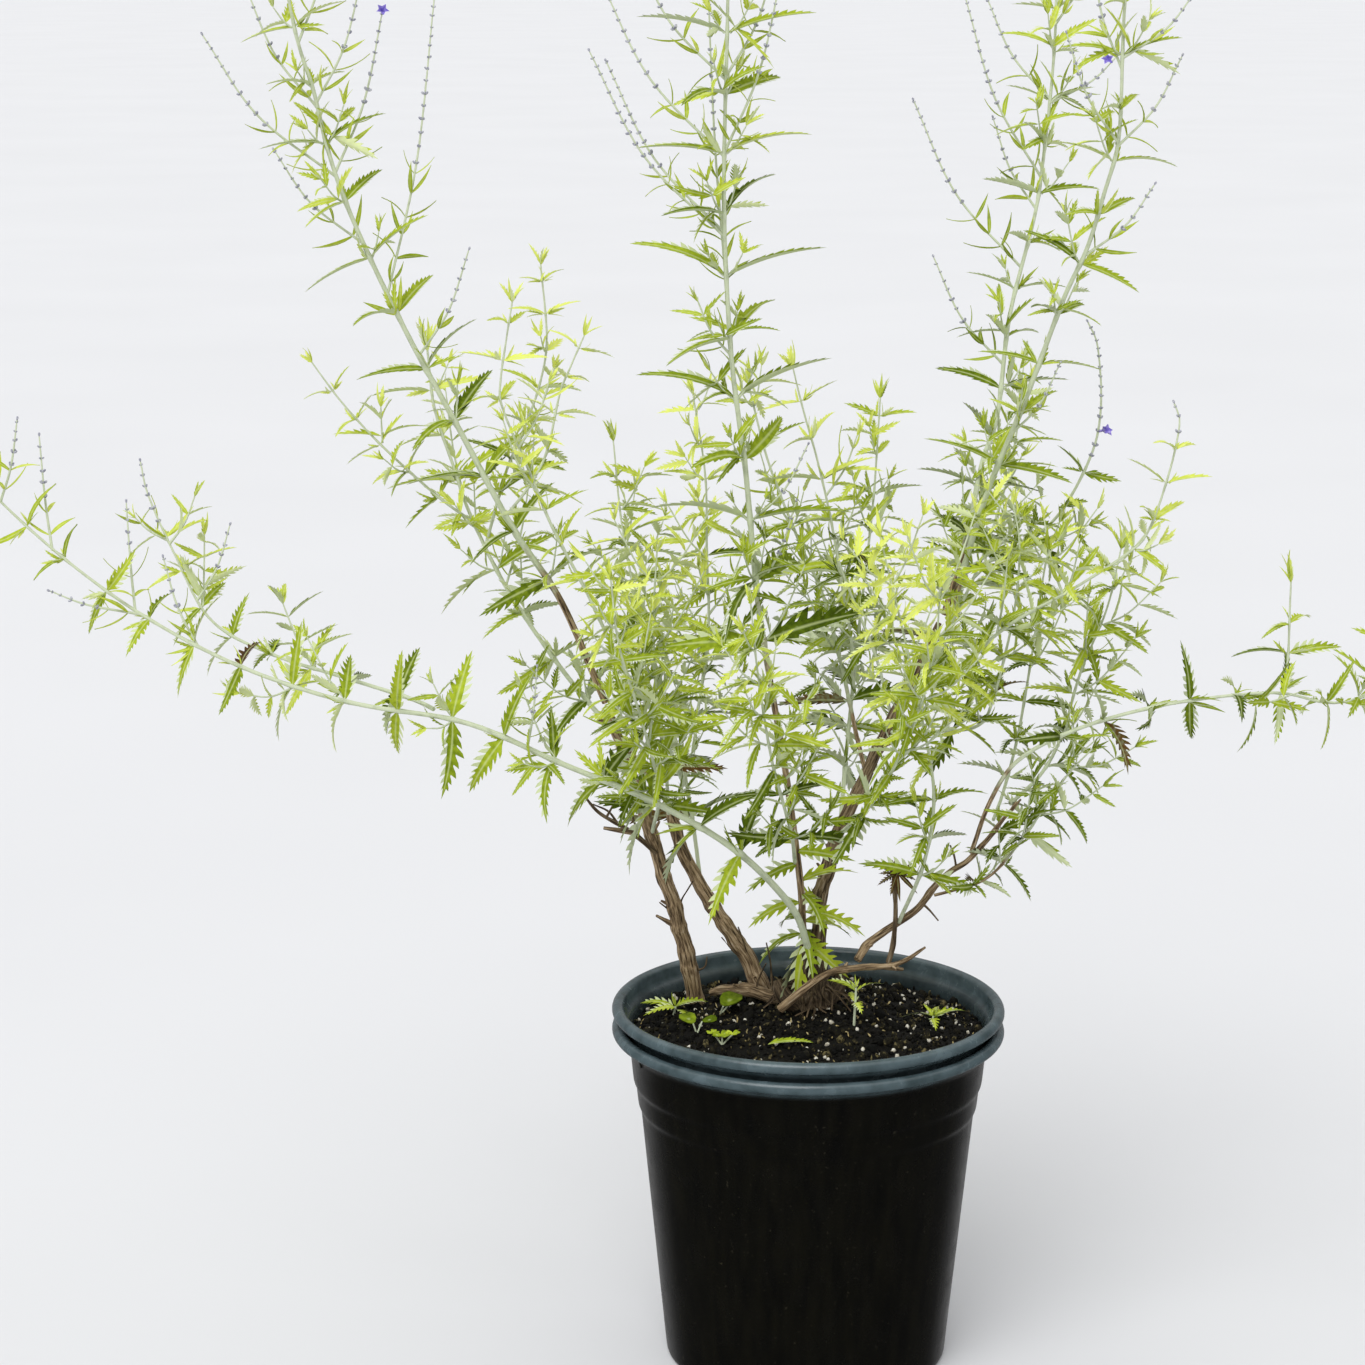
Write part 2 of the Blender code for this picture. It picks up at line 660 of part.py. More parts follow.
def root_crown(into):
    """The gnarled stump: a tapered bar with two knuckles."""
    stump = [Vector(p) for p in STUMP]
    thing = add_object("root_crown", tube("crown_bar", stump, (15.0, 7.0), into, sides=3), into)
    for k, points in enumerate(KNUCKLES):
        bar = tube(f"knuckle_{k}", [Vector(p) for p in points], (9.0, 4.5), into, sides=2)
        apply_boolean(thing, add_object(f"knuckle_{k}", bar, into), "UNION")
    thing.data.materials.append(material("crown_bark", "bark"))
    return thing


def shoot_points(foot, offset):
    """A side shoot: it leaves the stem at a slant and turns upward to its tip."""
    x, y, z = offset
    middle = foot + Vector((0.6 * x, 0.6 * y, 0.44 * z))
    return smooth_route([foot, middle, foot + offset], SHOOT_STEP)


def clear_start(name, points, radii, built):
    """Moves the foot of a stem along its route until it stands free of what is already there."""
    scratch = bpy.context.scene.collection
    lengths = route_lengths(points)
    for skip in range(0, 60):
        first = point_at(points, lengths, skip * 0.6)
        rest = [p for p, length in zip(points, lengths) if length > skip * 0.6 + 4.0]
        foot = tube(name, [first, *rest[:2]], radii, scratch, grow=GAP)
        if not any(search_tree(foot).overlap(other) for other in built):
            break
    return [first, *rest], skip * 0.6


def leaf_frame(points, lengths, distance, turn):
    """Foot, direction and normal for a leaf at a distance along a stem."""
    foot = point_at(points, lengths, distance)
    tangent = point_at(points, lengths, distance + 4.0) - point_at(points, lengths, distance - 4.0)
    tangent.normalize()
    side = Vector((1, 0, 0)) - tangent * tangent.x
    side.normalize()
    back = tangent.cross(side)
    angle = math.radians(turn)
    out = side * math.cos(angle) + back * math.sin(angle)
    return foot, out, tangent


def place_leaf(template, frame, length, rise, inset, built):
    """The first leaf position, of several near the wanted one, that is clear of every other piece."""
    foot, out, tangent = frame
    for swing, lift, share in LEAF_TRIES:
        turned = Matrix.Rotation(math.radians(swing), 3, tangent) @ out
        angle = math.radians(rise + lift)
        along = turned * math.cos(angle) + tangent * math.sin(angle)
        size = length * share
        trial = leaf_mesh(template, foot + along * inset, along, tangent, size, GAP)
        free = is_clear(trial, built)
        trial.free()
        if free:
            return leaf_mesh(template, foot + along * inset, along, tangent, size)
    return None


def grow_stem(name, spec, built, into):
    """A bare stem and its side shoots, kept as separate bars until the leaves are on."""
    points = smooth_route([Vector(p) for p in spec["route"]])
    points, skipped = clear_start(name, points, spec["radius"], built)
    tall = spec["radius"][0] >= TALL_RADIUS
    thing = add_object(name, tube(name, points, spec["radius"], into, sides=1 if tall else 0), into)
    lengths = route_lengths(points)
    trees = [search_tree(thing.data)]
    shoots = []
    bars = []
    for at, *offset in spec["shoots"]:
        distance = min(at - skipped, lengths[-1] - 2.0)
        bar = shoot_points(point_at(points, lengths, distance), Vector(offset))
        wide = search_tree(tube(name, bar, (0.95, 0.6), into, sides=0, grow=GAP))
        if any(wide.overlap(other) for other in built):
            continue
        shape = bmesh.new()
        shape.from_mesh(tube(name, bar, (0.95, 0.6), into, sides=0))
        trees.append(BVHTree.FromBMesh(shape))
        shoots.append(bar)
        bars.append(shape)
    return {
        "thing": thing,
        "points": points,
        "skipped": skipped,
        "shoots": shoots,
        "bars": bars,
        "trees": trees,
    }


def leaf_pair(template, points, lengths, distance, length, turn, chance, inset, built):
    """Two opposite leaves, each left out where it has no room."""
    found = []
    for half in (0.0, 180.0):
        at = distance + chance.uniform(0.0, 1.5)
        frame = leaf_frame(points, lengths, at, turn + half + chance.uniform(-12, 12))
        size = length * chance.uniform(0.92, 1.05)
        leaf = place_leaf(template, frame, size, chance.uniform(4, 24), inset, built)
        if leaf:
            found.append(leaf)
    return found


def leaf_up(name, spec, stem, templates, built, into):
    """Sets the leaf pairs on a stem and its shoots and joins it all into one body."""
    chance = random.Random(name)
    points = stem["points"]
    lengths = route_lengths(points)
    total = lengths[-1]
    leaves = []
    for bar in stem["shoots"]:
        along = route_lengths(bar)
        if along[-1] > 58.0:
            leaves += leaf_pair(templates[1], bar, along, 0.45 * along[-1], 20.0, 0.0, chance, -0.2, built)
    first, spacing, low, high, turn = spec["leaves"]
    if spec["radius"][0] < TALL_RADIUS:
        spacing *= SIDE_SPACING
    distance = first - stem["skipped"]
    while distance < 4.0:
        distance += spacing
    start = distance
    while distance < total - 8.0:
        share = (distance - start) / max(total - start, 1.0)
        length = (low + (high - low) * share) * chance.uniform(0.9, 1.06)
        radius = spec["radius"][0] + (spec["radius"][1] - spec["radius"][0]) * distance / total
        template = templates[0] if length > 46.0 else templates[1]
        leaves += leaf_pair(template, points, lengths, distance, length, turn, chance, -0.25 * radius, built)
        turn += 90.0
        distance += spacing
    found = [BVHTree.FromBMesh(leaf) for leaf in leaves]
    thing = stem["thing"]
    extra = add_object(name + "_leaves", joined(stem["bars"] + leaves, name + "_leaves"), into)
    apply_boolean(thing, extra, "UNION")
    tidy_mesh(thing)
    return found


def woody_piece(name, spec, built, into):
    points = smooth_route([Vector(p) for p in spec["route"]], 20.0)
    points, skipped = clear_start(name, points, spec["radius"], built)
    thing = add_object(name, tube(name, points, spec["radius"], into, sides=2), into)
    lengths = route_lengths(points)
    for k, (at, *offset) in enumerate(spec["shoots"]):
        foot = point_at(points, lengths, at)
        stub = tube(f"{name}_stub_{k}", [foot, foot + Vector(offset)], (1.5, 1.0), into)
        apply_boolean(thing, add_object(f"{name}_stub_{k}", stub, into), "UNION")
    tidy_mesh(thing)
    thing.data.materials.append(material(name + "_bark", "bark"))
    return thing


def potting_mix(into, cutters, planted):
    """The root ball, with a socket for each woody piece that stands in it."""
    thing = screw_piece("potting_mix", [*SOIL_TOP, *SOIL_SIDE], into)
    for name, points, radii, sides in planted:
        socket = tube(name, points, radii, cutters, sides=sides, grow=GAP)
        cutter = add_object(name + "_socket_cutter", socket, cutters)
        cutter.hide_render = True
        cutter.display_type = "WIRE"
        apply_boolean(thing, cutter, "DIFFERENCE")
    thing.data.materials.append(material("mix", "mix"))
    return thing


def soil_height(x, y):
    reach = math.hypot(x, y)
    for (near, high), (far, low) in zip(SOIL_TOP, SOIL_TOP[1:]):
        if reach <= far:
            return high + (low - high) * (reach - near) / (far - near)
    return SOIL_TOP[-1][1]


def small_plant(name, x, y, height, leaves, template, built, into):
    """A seedling or weed: a short upright stalk with leaves round its top."""
    ground = soil_height(x, y) + 1.0
    foot = Vector((x, y, ground))
    thing = add_object(name, tube(name, [foot, foot + Vector((1, 0, height))], (0.8, 0.7), into), into)
    extra = []
    for angle, length, rise, share in leaves:
        out = Vector((math.cos(math.radians(angle)), math.sin(math.radians(angle)), 0))
        frame = (foot + Vector((share, 0, height * share)), out, Vector((0, 0, 1)))
        leaf = place_leaf(template, frame, length, rise, 0.1, built)
        if leaf:
            extra.append(leaf)
    apply_boolean(thing, add_object(name + "_leaves", joined(extra, name + "_leaves"), into), "UNION")
    tidy_mesh(thing)
    thing.data.materials.append(material(name + "_green", "leaf"))
    return thing


def loose_leaf(name, template, foot, along, normal, length, look, into):
    directions = [Vector(along).normalized(), Vector(normal).normalized()]
    shape = leaf_mesh(template, Vector(foot), *directions, length)
    thing = add_object(name, joined([shape], name), into)
    thing.data.materials.append(material(name + "_tissue", look))
    return thing


def to_metres(thing):
    thing.data.transform(Matrix.Scale(MM, 4))


def main():
    clear_scene()
    parts = collection("potted_sage")
    cutters = collection("cutters", hidden=True)
    long_leaf = leaf_form("long_leaf", 2)
    short_leaf = leaf_form("short_leaf", 1)
    round_leaf = leaf_outline("round_leaf", [(0.0, 0.04), (0.5, 0.34), (0.85, 0.38), (1.0, 0.12)], parts)
    templates = (long_leaf, short_leaf)

    made = [pot("outer_pot", 0.0, parts, cutters), pot("inner_pot", NEST_LIFT, parts, cutters)]
    crown = root_crown(parts)
    made.append(crown)
    built = [search_tree(crown.data)]
    planted = [("crown", [Vector(p) for p in SOCKET_STUMP], (15.2, 12.0), 3)]
    for k, points in enumerate(KNUCKLES):
        planted.append((f"knuckle_{k}", [Vector(p) for p in points], (9.1, 4.6), 2))
    for name, spec in WOOD.items():
        thing = woody_piece(name, spec, built, parts)
        made.append(thing)
        built.append(search_tree(thing.data))
    for name in ("woody_cane_left", "woody_cane_middle"):
        spec = WOOD[name]
        points = smooth_route([Vector(p) for p in spec["route"]], 20.0)
        points[0] = points[0] - (points[1] - points[0]).normalized()
        planted.append((name, points[:4], (spec["radius"][0] + 0.1, spec["radius"][0] - 0.3), 2))
    mix = potting_mix(parts, cutters, planted)
    made.append(mix)
    built += [search_tree(mix.data), search_tree(made[0].data), search_tree(made[1].data)]

    grown = {}
    for name, spec in STEMS.items():
        stem = grow_stem(name, spec, built, parts)
        stem["thing"].data.materials.append(material(name + "_green", "stem"))
        grown[name] = stem
        made.append(stem["thing"])
        built += stem["trees"]
    for name, spec in STEMS.items():
        stem = grown[name]
        others = [tree for tree in built if tree not in stem["trees"]]
        built += leaf_up(name, spec, stem, templates, others, parts)

    for name, spec in SEEDLINGS.items():
        thing = small_plant(name, *spec["place"], spec["leaves"], short_leaf, built, parts)
        made.append(thing)
        built.append(search_tree(thing.data))
    for name, (x, y, height) in TREFOILS.items():
        leaflets = ((30, 12, 0.95), (150, 16, 0.84), (270, 9, 0.73))
        leaves = [(turn, 0.9 * height, rise, share) for turn, rise, share in leaflets]
        made.append(small_plant(name, x, y, height, leaves, round_leaf, built, parts))

    foot = (-24, -52, soil_height(24, 52) + 1.0)
    made.append(loose_leaf("fallen_leaf", short_leaf, foot, (1, 0.1, 0.17), (0, 0, 1), 26, "leaf", parts))
    foot = (48.8, -13.5, 287)
    made.append(
        loose_leaf("curled_dead_leaf", long_leaf, foot, (0.3, -1, 0.1), (0.4, 0, 1), 22, "dead_leaf", parts)
    )
    for thing in made:
        to_metres(thing)


main()
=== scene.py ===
"""Russian sage growing in two nested nursery pots. Lengths are in millimetres until a mesh is made."""

import json
import math
import random
from collections import namedtuple

import bmesh
import bpy
from mathutils import Matrix, Vector, noise

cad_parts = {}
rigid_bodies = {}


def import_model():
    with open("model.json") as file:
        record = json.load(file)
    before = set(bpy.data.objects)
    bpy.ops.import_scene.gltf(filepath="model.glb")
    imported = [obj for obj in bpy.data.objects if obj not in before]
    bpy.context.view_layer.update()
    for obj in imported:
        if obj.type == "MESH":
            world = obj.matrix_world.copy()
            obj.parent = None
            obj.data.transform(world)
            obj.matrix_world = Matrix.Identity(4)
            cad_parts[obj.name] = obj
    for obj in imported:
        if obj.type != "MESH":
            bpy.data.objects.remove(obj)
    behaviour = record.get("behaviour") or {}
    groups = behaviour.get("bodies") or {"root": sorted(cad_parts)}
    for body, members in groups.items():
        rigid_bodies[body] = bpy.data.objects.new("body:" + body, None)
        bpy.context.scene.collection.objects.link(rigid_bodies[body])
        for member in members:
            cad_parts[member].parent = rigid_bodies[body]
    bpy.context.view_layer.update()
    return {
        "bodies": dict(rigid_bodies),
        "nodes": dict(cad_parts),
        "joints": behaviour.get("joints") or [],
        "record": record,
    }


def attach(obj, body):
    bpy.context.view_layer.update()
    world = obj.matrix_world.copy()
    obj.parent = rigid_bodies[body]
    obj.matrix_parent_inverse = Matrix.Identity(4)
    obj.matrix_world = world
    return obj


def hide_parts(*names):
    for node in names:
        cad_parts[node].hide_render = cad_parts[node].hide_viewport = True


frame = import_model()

# The wood wanders the same way at every run
noise.seed_set(7)

MM = 0.001

# Pots: one mould, used twice
BASE_RADIUS = 79.9
TAPER = 0.1
WALL = 0.8
FLOOR = 1.2
BEAD_RADIUS = 107.5
BEAD_HEIGHT = 193.0
BEAD = 3.4
LEDGE_HEIGHT = 185.5
RING_HEIGHTS = (148.0, 162.0)
RING_STEP = 1.3
NEST_LIFT = 11.5
POT_STEPS = 144
DRAIN_HOLES = 5
DRAIN_RADIUS = 7.0
DRAIN_CIRCLE = 62.0

# Potting mix
SOIL_TOP = [(0.0, 203.0), (32.0, 201.5), (62.0, 197.0), (84.0, 193.0), (98.5, 191.5)]
SOIL_SIDE = [(97.2, 175.5), (96.0, 173.0), (93.9, 158.0), (79.7, 16.2), (77.1, 13.1), (0.0, 13.1)]

# What lies on the potting mix: family, how many to the square metre, smallest and largest,
# how deep it sits, a number for chance, and finish
STREWN = (
    ("crumbs", 70000.0, 1.2, 3.6, 0.4, 1, "peat"),
    ("crumbs", 7000.0, 4.0, 8.5, 0.2, 5, "peat"),
    ("fibres", 11000.0, 0.7, 1.7, 1.0, 8, "peat"),
    ("perlite", 7500.0, 0.9, 3.1, 0.5, 11, "perlite"),
    ("fibres", 5200.0, 0.6, 1.3, 1.2, 15, "straw"),
)

# The bed's lumps: height, fineness, and a level of their own in the noise
LUMPS = ((2.0, 0.06, 0), (1.3, 0.22, 7), (0.7, 0.6, 3))
BED_RINGS = 46

# Root crown
STUMP = [(4, 12, 186), (3, 11, 200), (2, 9, 214), (2, 8, 228), (2, 8, 240)]
CROWN_FIBRES = 26
KNUCKLES = ([(2, 10, 198), (-12, 4, 208), (-17, 8, 218)], [(4, 12, 200), (16, 16, 210), (20, 20, 222)])

# A stem or twig: its route in mm, its radii at foot and tip, its leaves as (first pair, spacing,
# length at foot, length at tip, turn of the first pair in degrees), and each side shoot as
# (distance along the stem, then the tip's offset from there).
Stem = namedtuple("Stem", "route radii leaves shoots")

WOOD = {
    "woody_cane_left": Stem(
        [(-62, 34, 186), (-67, 31, 222), (-75, 25, 254), (-84, 22, 285), (-95, 18, 321), (-113, 10, 376)],
        (5.0, 2.9), (), [(58, -14, -4, 9)],
    ),
    "woody_cane_middle": Stem(
        [(-20, 32, 190), (-31, 33, 218), (-44, 35, 240), (-55, 38, 256), (-64, 42, 270), (-73, 46, 288),
         (-80, 52, 312)],
        (5.2, 3.2), (), [],
    ),
    "woody_cane_right": Stem(
        [(6, 14, 232), (8, 18, 268), (15, 22, 294), (22, 24, 312), (31, 28, 330), (41, 30, 350),
         (52, 32, 375), (63, 32, 396), (73, 32, 420)],
        (4.4, 2.6), (), [],
    ),
    "surface_root": Stem(
        [(-8, 10, 206), (-22, 14, 207), (-34, 20, 208), (-46, 27, 206), (-55, 31, 203)],
        (4.2, 2.8), (), [],
    ),
    "dry_forked_twig": Stem(
        [(-16, -9, 206), (-6, -11, 216), (12, -13, 229), (26, -14, 232), (42, -17, 234), (53, -20, 238),
         (64, -24, 247)],
        (3.6, 1.7), (), [(66, 12, 4, -3)],
    ),
    "low_woody_branch": Stem(
        [(27, -12, 236), (33, -6, 243), (43, -6, 251), (59, -12, 265), (67, -15, 276), (77, -22, 290),
         (86, -28, 298), (94, -34, 309), (105, -42, 326), (113, -48, 338)],
        (3.0, 1.5), (), [],
    ),
    "dead_upright_twig": Stem(
        [(44, -17, 236), (47, -16, 249), (48, -14, 271), (46, -12, 291)],
        (1.8, 1.3), (), [],
    ),
    "dead_twig_left": Stem(
        [(-86, 18, 290), (-100, 12, 304), (-117, 6, 316), (-128, 2, 330)],
        (1.7, 1.0), (), [(20, -16, 2, 2)],
    ),
}

STEMS = {
    "tall_stem_left": Stem(
        [(-114, 10, 379), (-138, 2, 438), (-163, -10, 480), (-191, -20, 536), (-220, -30, 594),
         (-244, -38, 649), (-256, -42, 685), (-263, -46, 718), (-271, -50, 747), (-277, -54, 790),
         (-280, -58, 850), (-279, -60, 900)],
        (2.7, 0.7), (78, 37, 50, 22, 0),
        [(225, 28, -10, 57), (262, 27, 12, 160), (292, -47, 10, 48), (330, -67, -6, 73), (332, 26, 6, 84),
         (367, -37, 8, 62), (370, 26, -8, 66), (402, 18, 8, 66), (430, -16, -6, 50)],
    ),
    "tall_stem_left_rear": Stem(
        [(-82, 54, 316), (-104, 65, 341), (-119, 70, 358), (-142, 75, 386), (-172, 85, 429),
         (-193, 92, 471), (-202, 95, 497), (-213, 98, 531), (-217, 101, 565)],
        (2.3, 0.9), (70, 33, 42, 34, 90), [(150, 14, 34, 66), (205, -12, 30, 60)],
    ),
    "side_branch_left_rear": Stem(
        [(-193, 92, 468), (-212, 93, 482), (-242, 92, 510), (-265, 90, 536), (-282, 88, 560)],
        (1.2, 0.6), (22, 24, 32, 14, 0), [],
    ),
    "young_shoot_rear": Stem(
        [(-184, 88, 455), (-172, 76, 497), (-163, 66, 519), (-152, 62, 548), (-147, 60, 576),
         (-150, 60, 618)],
        (1.3, 0.6), (34, 25, 36, 18, 90), [(70, 20, 10, 40)],
    ),
    "young_shoot_middle": Stem(
        [(-168, -10, 487), (-156, 12, 500), (-146, 24, 518), (-139, 30, 549), (-133, 30, 564),
         (-125, 30, 582)],
        (1.2, 0.6), (30, 24, 34, 16, 0), [],
    ),
    "young_shoot_front": Stem(
        [(-70, 16, 330), (-86, -14, 376), (-104, -30, 409), (-123, -44, 453), (-140, -52, 488),
         (-152, -56, 519), (-165, -58, 551), (-167, -58, 566), (-160, -61, 610)],
        (1.7, 0.6), (58, 26, 40, 18, 0), [(208, -18, -12, 42), (236, 16, 10, 34)],
    ),
    "long_low_stem": Stem(
        [(2, 5, 228), (-1, -5, 243), (-11, -15, 269), (-42, -35, 306), (-86, -55, 338), (-137, -66, 363),
         (-187, -74, 387), (-248, -78, 399), (-303, -80, 418), (-355, -80, 446), (-402, -80, 482),
         (-444, -80, 524), (-466, -80, 552)],
        (2.8, 0.7), (96, 33, 52, 18, 90),
        [(236, 6, -10, 46), (420, -18, 8, 46), (454, -46, -8, 14), (458, -4, 8, 56), (512, -6, 9, 58),
         (548, 12, -8, 44)],
    ),
    "long_low_stem_upper": Stem(
        [(-204, -68, 393), (-217, -56, 396), (-252, -46, 405), (-293, -40, 417), (-326, -36, 435),
         (-345, -32, 470), (-359, -28, 502), (-363, -26, 520)],
        (1.7, 0.6), (26, 26, 38, 16, 0), [(150, 18, 6, 40), (184, 14, 4, 26), (186, -18, 4, 12)],
    ),
    "tall_stem_centre": Stem(
        [(0, 8, 232), (-3, 5, 250), (-5, 0, 279), (-14, -9, 345), (-22, -15, 392), (-30, -22, 443),
         (-37, -30, 515), (-45, -38, 578), (-49, -46, 647), (-49, -50, 700), (-48, -56, 742),
         (-47, -60, 800), (-44, -62, 860), (-43, -63, 905)],
        (2.9, 0.7), (191, 38, 60, 34, 0),
        [(221, 22, 30, 44), (260, 30, -14, 44), (353, -18, -6, 30), (387, -11, 20, 180),
         (417, -70, -12, 96), (419, -62, 14, 88), (459, -65, 6, 92), (461, 30, -8, 96), (499, -48, 8, 66),
         (501, 26, 10, 60), (541, -30, 6, 60)],
    ),
    "tall_stem_right_front": Stem(
        [(76, 28, 426), (82, 18, 442), (95, 0, 497), (114, -15, 552), (132, -28, 608), (143, -34, 635),
         (151, -40, 666), (157, -44, 694), (157, -50, 745), (157, -56, 800), (156, -60, 870)],
        (2.4, 0.7), (34, 33, 44, 24, 0),
        [(118, 24, -14, 40), (225, 35, -8, 38), (286, 33, 6, 46), (288, -29, -8, 56), (326, -17, 8, 60),
         (332, 36, -6, 34), (368, -14, -6, 50)],
    ),
    "tall_stem_right_rear": Stem(
        [(76, 37, 424), (90, 62, 462), (99, 72, 504), (108, 80, 531), (115, 92, 586), (128, 100, 638),
         (133, 104, 670), (139, 112, 734), (140, 118, 800), (141, 121, 860)],
        (2.3, 0.7), (48, 31, 40, 22, 90),
        [(150, -40, 6, 60), (206, -62, 6, 93), (240, -24, 14, 50), (258, -45, -4, 100), (300, 39, 4, 27),
         (302, -36, 8, 56), (344, 24, 6, 50)],
    ),
    "flower_spike_stem": Stem(
        [(80, 50, 440), (100, 49, 451), (118, 45, 460), (139, 38, 480), (155, 30, 513), (160, 26, 541),
         (157, 22, 576), (151, 20, 590)],
        (1.5, 0.6), (30, 26, 30, 18, 80), [],
    ),
    "leafy_stem_right_front": Stem(
        [(62, 22, 384), (78, -22, 402), (102, -48, 433), (138, -62, 458), (165, -68, 478),
         (175, -70, 490), (184, -74, 520), (189, -74, 547), (186, -74, 558)],
        (1.7, 0.6), (52, 24, 40, 20, 0), [(92, 4, -10, 44), (136, -10, 10, 40)],
    ),
    "leafy_stem_right": Stem(
        [(108, -42, 334), (128, -12, 344), (141, 6, 362), (150, 4, 398), (163, 0, 434), (170, 0, 468)],
        (1.5, 0.6), (44, 25, 36, 24, 0), [(96, 8, 10, 30)],
    ),
    "far_right_stem": Stem(
        [(88, -32, 304), (96, -56, 340), (110, -66, 365), (141, -74, 384), (182, -82, 398),
         (224, -86, 405), (247, -88, 406), (276, -88, 401), (308, -88, 413), (330, -88, 428)],
        (1.8, 0.7), (100, 27, 44, 22, 90), [],
    ),
    "far_right_upright_shoot": Stem(
        [(247, -88, 408), (248, -88, 427), (248, -88, 443), (248, -88, 466)],
        (1.0, 0.6), (19, 19, 30, 22, 0), [],
    ),
    "rear_centre_stem": Stem(
        [(33, 31, 333), (29, 60, 348), (22, 82, 380), (11, 90, 422), (-5, 98, 458), (-22, 102, 502),
         (-33, 104, 545)],
        (1.9, 0.7), (56, 30, 42, 22, 0), [(130, 24, 16, 44), (160, -20, 14, 44)],
    ),
    "young_shoot_centre": Stem(
        [(28, 78, 372), (26, 66, 400), (19, 60, 440), (13, 60, 474), (5, 60, 508), (-3, 60, 536),
         (-9, 60, 560)],
        (1.4, 0.6), (54, 28, 42, 20, 90), [(120, 18, 8, 34)],
    ),
    "wilted_shoot": Stem(
        [(48, 34, 362), (38, 34, 400), (26, 32, 430), (16, 30, 457), (17, 30, 471), (24, 30, 471),
         (26, 30, 463)],
        (1.3, 0.8), (44, 26, 34, 24, 0), [],
    ),
    "bush_shoot_left": Stem(
        [(-79, 44, 306), (-80, 26, 332), (-83, 10, 361), (-86, 2, 393), (-87, -3, 430), (-85, -4, 467)],
        (1.5, 0.6), (40, 22, 34, 16, 0), [],
    ),
    "bush_shoot_left_centre": Stem(
        [(-74, 56, 300), (-68, 72, 338), (-61, 80, 365), (-56, 88, 408), (-57, 90, 451), (-58, 92, 495),
         (-65, 92, 541)],
        (1.6, 0.6), (36, 26, 38, 18, 90), [(90, -24, 18, 40), (120, 20, 14, 36)],
    ),
    "low_twig_right": Stem(
        [(69, -20, 276), (83, -24, 281), (96, -27, 287), (107, -31, 299), (124, -40, 327),
         (139, -48, 353), (151, -50, 367)],
        (1.2, 0.6), (24, 21, 30, 16, 90), [],
    ),
    "bush_shoot_right_front": Stem(
        [(50, -12, 258), (62, -36, 300), (66, -42, 341), (56, -52, 394), (48, -58, 429), (34, -60, 485)],
        (1.6, 0.6), (40, 25, 38, 20, 0), [(120, 16, -12, 34)],
    ),
    "bush_shoot_right": Stem(
        [(47, 27, 358), (72, 4, 364), (92, -16, 372), (100, -24, 392), (109, -30, 439), (111, -31, 475),
         (107, -31, 498)],
        (1.5, 0.6), (44, 24, 36, 18, 90), [],
    ),
    "bush_shoot_far_right": Stem(
        [(100, -30, 322), (108, 0, 330), (116, 20, 350), (120, 21, 372), (126, 24, 412), (132, 28, 456),
         (139, 28, 478)],
        (1.4, 0.6), (44, 24, 34, 18, 0), [],
    ),
    "bush_shoot_rear_left": Stem(
        [(-60, 44, 262), (-70, 84, 320), (-92, 122, 390), (-106, 146, 450), (-112, 156, 505)],
        (1.7, 0.6), (44, 27, 42, 20, 0), [(110, -26, 14, 40), (140, 24, 14, 40)],
    ),
    "bush_shoot_rear": Stem(
        [(18, 26, 296), (24, 70, 340), (34, 122, 410), (42, 150, 470), (46, 160, 530)],
        (1.8, 0.6), (48, 28, 44, 20, 90), [(120, 26, 16, 40), (150, -24, 16, 44)],
    ),
    "bush_shoot_rear_right": Stem(
        [(62, 36, 388), (84, 80, 410), (108, 122, 450), (124, 146, 500), (130, 156, 550)],
        (1.7, 0.6), (36, 27, 42, 20, 0), [(90, 28, 14, 36)],
    ),
    "bush_shoot_front": Stem(
        [(-8, -2, 290), (-12, -46, 320), (-24, -92, 372), (-32, -118, 424), (-36, -126, 462)],
        (1.6, 0.6), (44, 25, 40, 20, 0), [(100, 20, -14, 34)],
    ),
    "bush_shoot_front_right": Stem(
        [(16, 16, 300), (34, -40, 336), (50, -84, 384), (60, -108, 430), (62, -114, 468)],
        (1.6, 0.6), (50, 25, 40, 20, 90), [(110, 22, -10, 34)],
    ),
    "bush_shoot_front_left": Stem(
        [(-88, 18, 302), (-84, -36, 340), (-92, -84, 388), (-104, -108, 436), (-108, -114, 472)],
        (1.6, 0.6), (48, 25, 40, 20, 0), [(112, -20, -12, 34)],
    ),
}


# Leaves round the crown: distance up the stem, turn, droop, length, kind
BASAL = [
    (6, 200, 44, 42, 10), (9, 235, 54, 36, 11), (12, 320, 36, 34, 10), (14, 165, 20, 36, 11),
    (18, 280, 30, 32, 10), (22, 20, 18, 36, 11), (28, 350, 4, 38, 10), (34, 190, 8, 34, 11),
    (40, 300, 14, 32, 10), (47, 15, -8, 36, 11), (16, 80, 24, 32, 10), (24, 120, 20, 34, 11),
    (36, 60, 10, 32, 10), (58, 205, 2, 34, 10), (66, 330, 0, 36, 3), (70, 170, -6, 38, 4),
]

